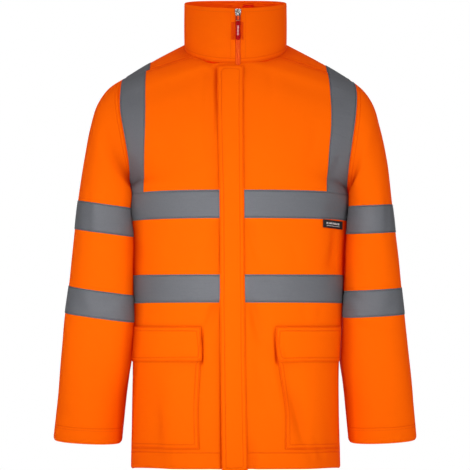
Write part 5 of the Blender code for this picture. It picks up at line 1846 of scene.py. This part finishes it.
def make_studio():
    """White surroundings that are a little brighter above, and soft lights."""
    world = bpy.data.worlds.new("studio")
    world.use_nodes = True
    bpy.context.scene.world = world
    made = Tree(world.node_tree)
    world.node_tree.nodes.clear()
    way = made.add("ShaderNodeTexCoord").outputs["Generated"]
    height = made.add("ShaderNodeSeparateXYZ", {0: way}).outputs[2]
    up = made.maths("MULTIPLY_ADD", height, 0.5, 0.5)
    glow = made.maths("MULTIPLY_ADD", up, WORLD_UP, WORLD_BASE)
    lit, seen = (made.add("ShaderNodeBackground", {"Color": (1, 1, 1, 1), "Strength": strength})
                 for strength in (glow, 1.0))
    ray = made.add("ShaderNodeLightPath").outputs["Is Camera Ray"]
    both = made.add("ShaderNodeMixShader", {0: ray, 1: lit.outputs[0], 2: seen.outputs[0]})
    made.add("ShaderNodeOutputWorld", {"Surface": both.outputs[0]})
    for name, light in LIGHTS.items():
        make_light(name, *light)


def make_floor():
    """Round pale floor, which the camera sees brighter than it lights the jacket."""
    mesh = bpy.data.meshes.new("floor")
    turns = np.linspace(0, 2 * math.pi, 64, endpoint=False)
    mesh.from_pydata([(FLOOR_RADIUS * math.cos(turn), FLOOR_RADIUS * math.sin(turn), FLOOR_Z)
                      for turn in turns], [], [list(range(64))])
    material, made, shader, _, mottle = finish(
        "floor", {"Roughness": 0.9, "Specular IOR Level": 0.1, "Emission Strength": 1.0}, 1.2, 30.0)
    made.join(made.mix(mottle["Broad"], (0.9, 0.9, 0.9, 1), (0.86, 0.86, 0.86, 1)),
              shader["Base Color"])
    seen = made.add("ShaderNodeLightPath").outputs["Is Camera Ray"]
    made.join(made.mix(seen, (0.0, 0.0, 0.0, 1), (0.55, 0.55, 0.55, 1)), shader["Emission Color"])
    mesh.materials.append(material)
    floor = bpy.data.objects.new("floor", mesh)
    bpy.context.scene.collection.objects.link(floor)


def make_camera():
    camera = bpy.data.cameras.new("camera")
    camera.sensor_width = 36.0
    camera.lens = 145.7
    camera.clip_end = 50.0
    obj = bpy.data.objects.new("camera", camera)
    obj.location = (-0.0009, -3.5, -0.348)
    obj.rotation_euler = (math.radians(90), 0, 0)
    bpy.context.scene.collection.objects.link(obj)
    bpy.context.scene.camera = obj


make_camera()
SLOTS = {part["node"]: part["material_slot"] for part in frame["record"]["subparts"]}
EFFECTS = {"weave": weave_effect(), "mottle": mottle_effect(), "stitched_in": pressed_effect(),
           "beads": bead_effect()}
MATERIALS = {
    "orange_cloth": cloth_finish(
        "orange_cloth", (0.63, 0.120, 0.0009, 1.0), (0.59, 0.111, 0.0007, 1.0),
        (1.0, 0.012, 0.0, 1.0),
        {"Roughness": 0.7, "Specular IOR Level": 0.012, "Emission Strength": 0.34},
        (("sewn", 0.0, 1.3), ("sewn", 2.0, 0.8), ("sewn", 8.0, 0.8), ("hemmed", 31.0, 0.9))),
    "reflective_tape": reflective_tape(),
    "zip_tape": cloth_finish(
        "zip_tape", (0.66, 0.155, 0.016, 1.0), (0.58, 0.125, 0.012, 1.0), (1.0, 0.02, 0.0, 1.0),
        {"Roughness": 0.6, "Specular IOR Level": 0.05, "Emission Strength": 0.34},
        threads_per_metre=1100.0, gap_shade_share=0.4),
    "black_tag": cloth_finish(
        "black_tag", (0.012, 0.011, 0.012, 1), (0.007, 0.007, 0.008, 1), None,
        {"Roughness": 0.55, "Specular IOR Level": 0.35}, (("sewn", 1.5, 0.5),), 2200.0),
    "red_tag": cloth_finish(
        "red_tag", (0.66, 0.036, 0.004, 1), (0.56, 0.026, 0.003, 1), (1.0, 0.004, 0.0, 1.0),
        {"Roughness": 0.65, "Specular IOR Level": 0.05, "Emission Strength": 0.28},
        (("sewn", 1.8, 0.5),), 2200.0),
}
for finish_name, colours in PLAIN_FINISHES.items():
    MATERIALS[finish_name] = mottled(finish_name, *colours)
THREAD_LINES = {"orange": [], "grey": [], "dark": [], "coil": []}
FRONTS = {side: front_surface(side) for side in (RIGHT, LEFT)}
BACK = back_surface()
SLEEVE_SURFACES = {side: sleeve_surface(side) for side in (RIGHT, LEFT)}
COLLAR = collar_surface()
STORM = storm_flap_surface()
SLIDER_BOX = [np.array(corner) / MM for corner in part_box("zip_slider")]
SLIDER_FRONT = (COLLAR.at(COLLAR.rows, 0.0)[0][1]
                + COLLAR.at(COLLAR.rows, COLLAR.columns)[0][1]) / 2 - 1.85
PIVOT = np.array(next(joint for joint in frame["joints"]
                      if joint["name"] == "pull_swing")["pos_m"]) / MM

make_body()
make_sleeves()
make_collar()
make_bands()
make_shoulder_tapes()
make_pockets()
make_storm_flap()
make_chest_tag()
make_neck_tag()
make_zip()
seam_stitches()
make_slider()
make_pull()
THREAD_TREE = thread_tree()
for thread_name, (thread_kind, *details) in THREADS.items():
    make_threads(THREAD_TREE, thread_name, THREAD_LINES[thread_kind], *details)
make_studio()
make_floor()
bpy.context.scene.view_settings.view_transform = "Standard"
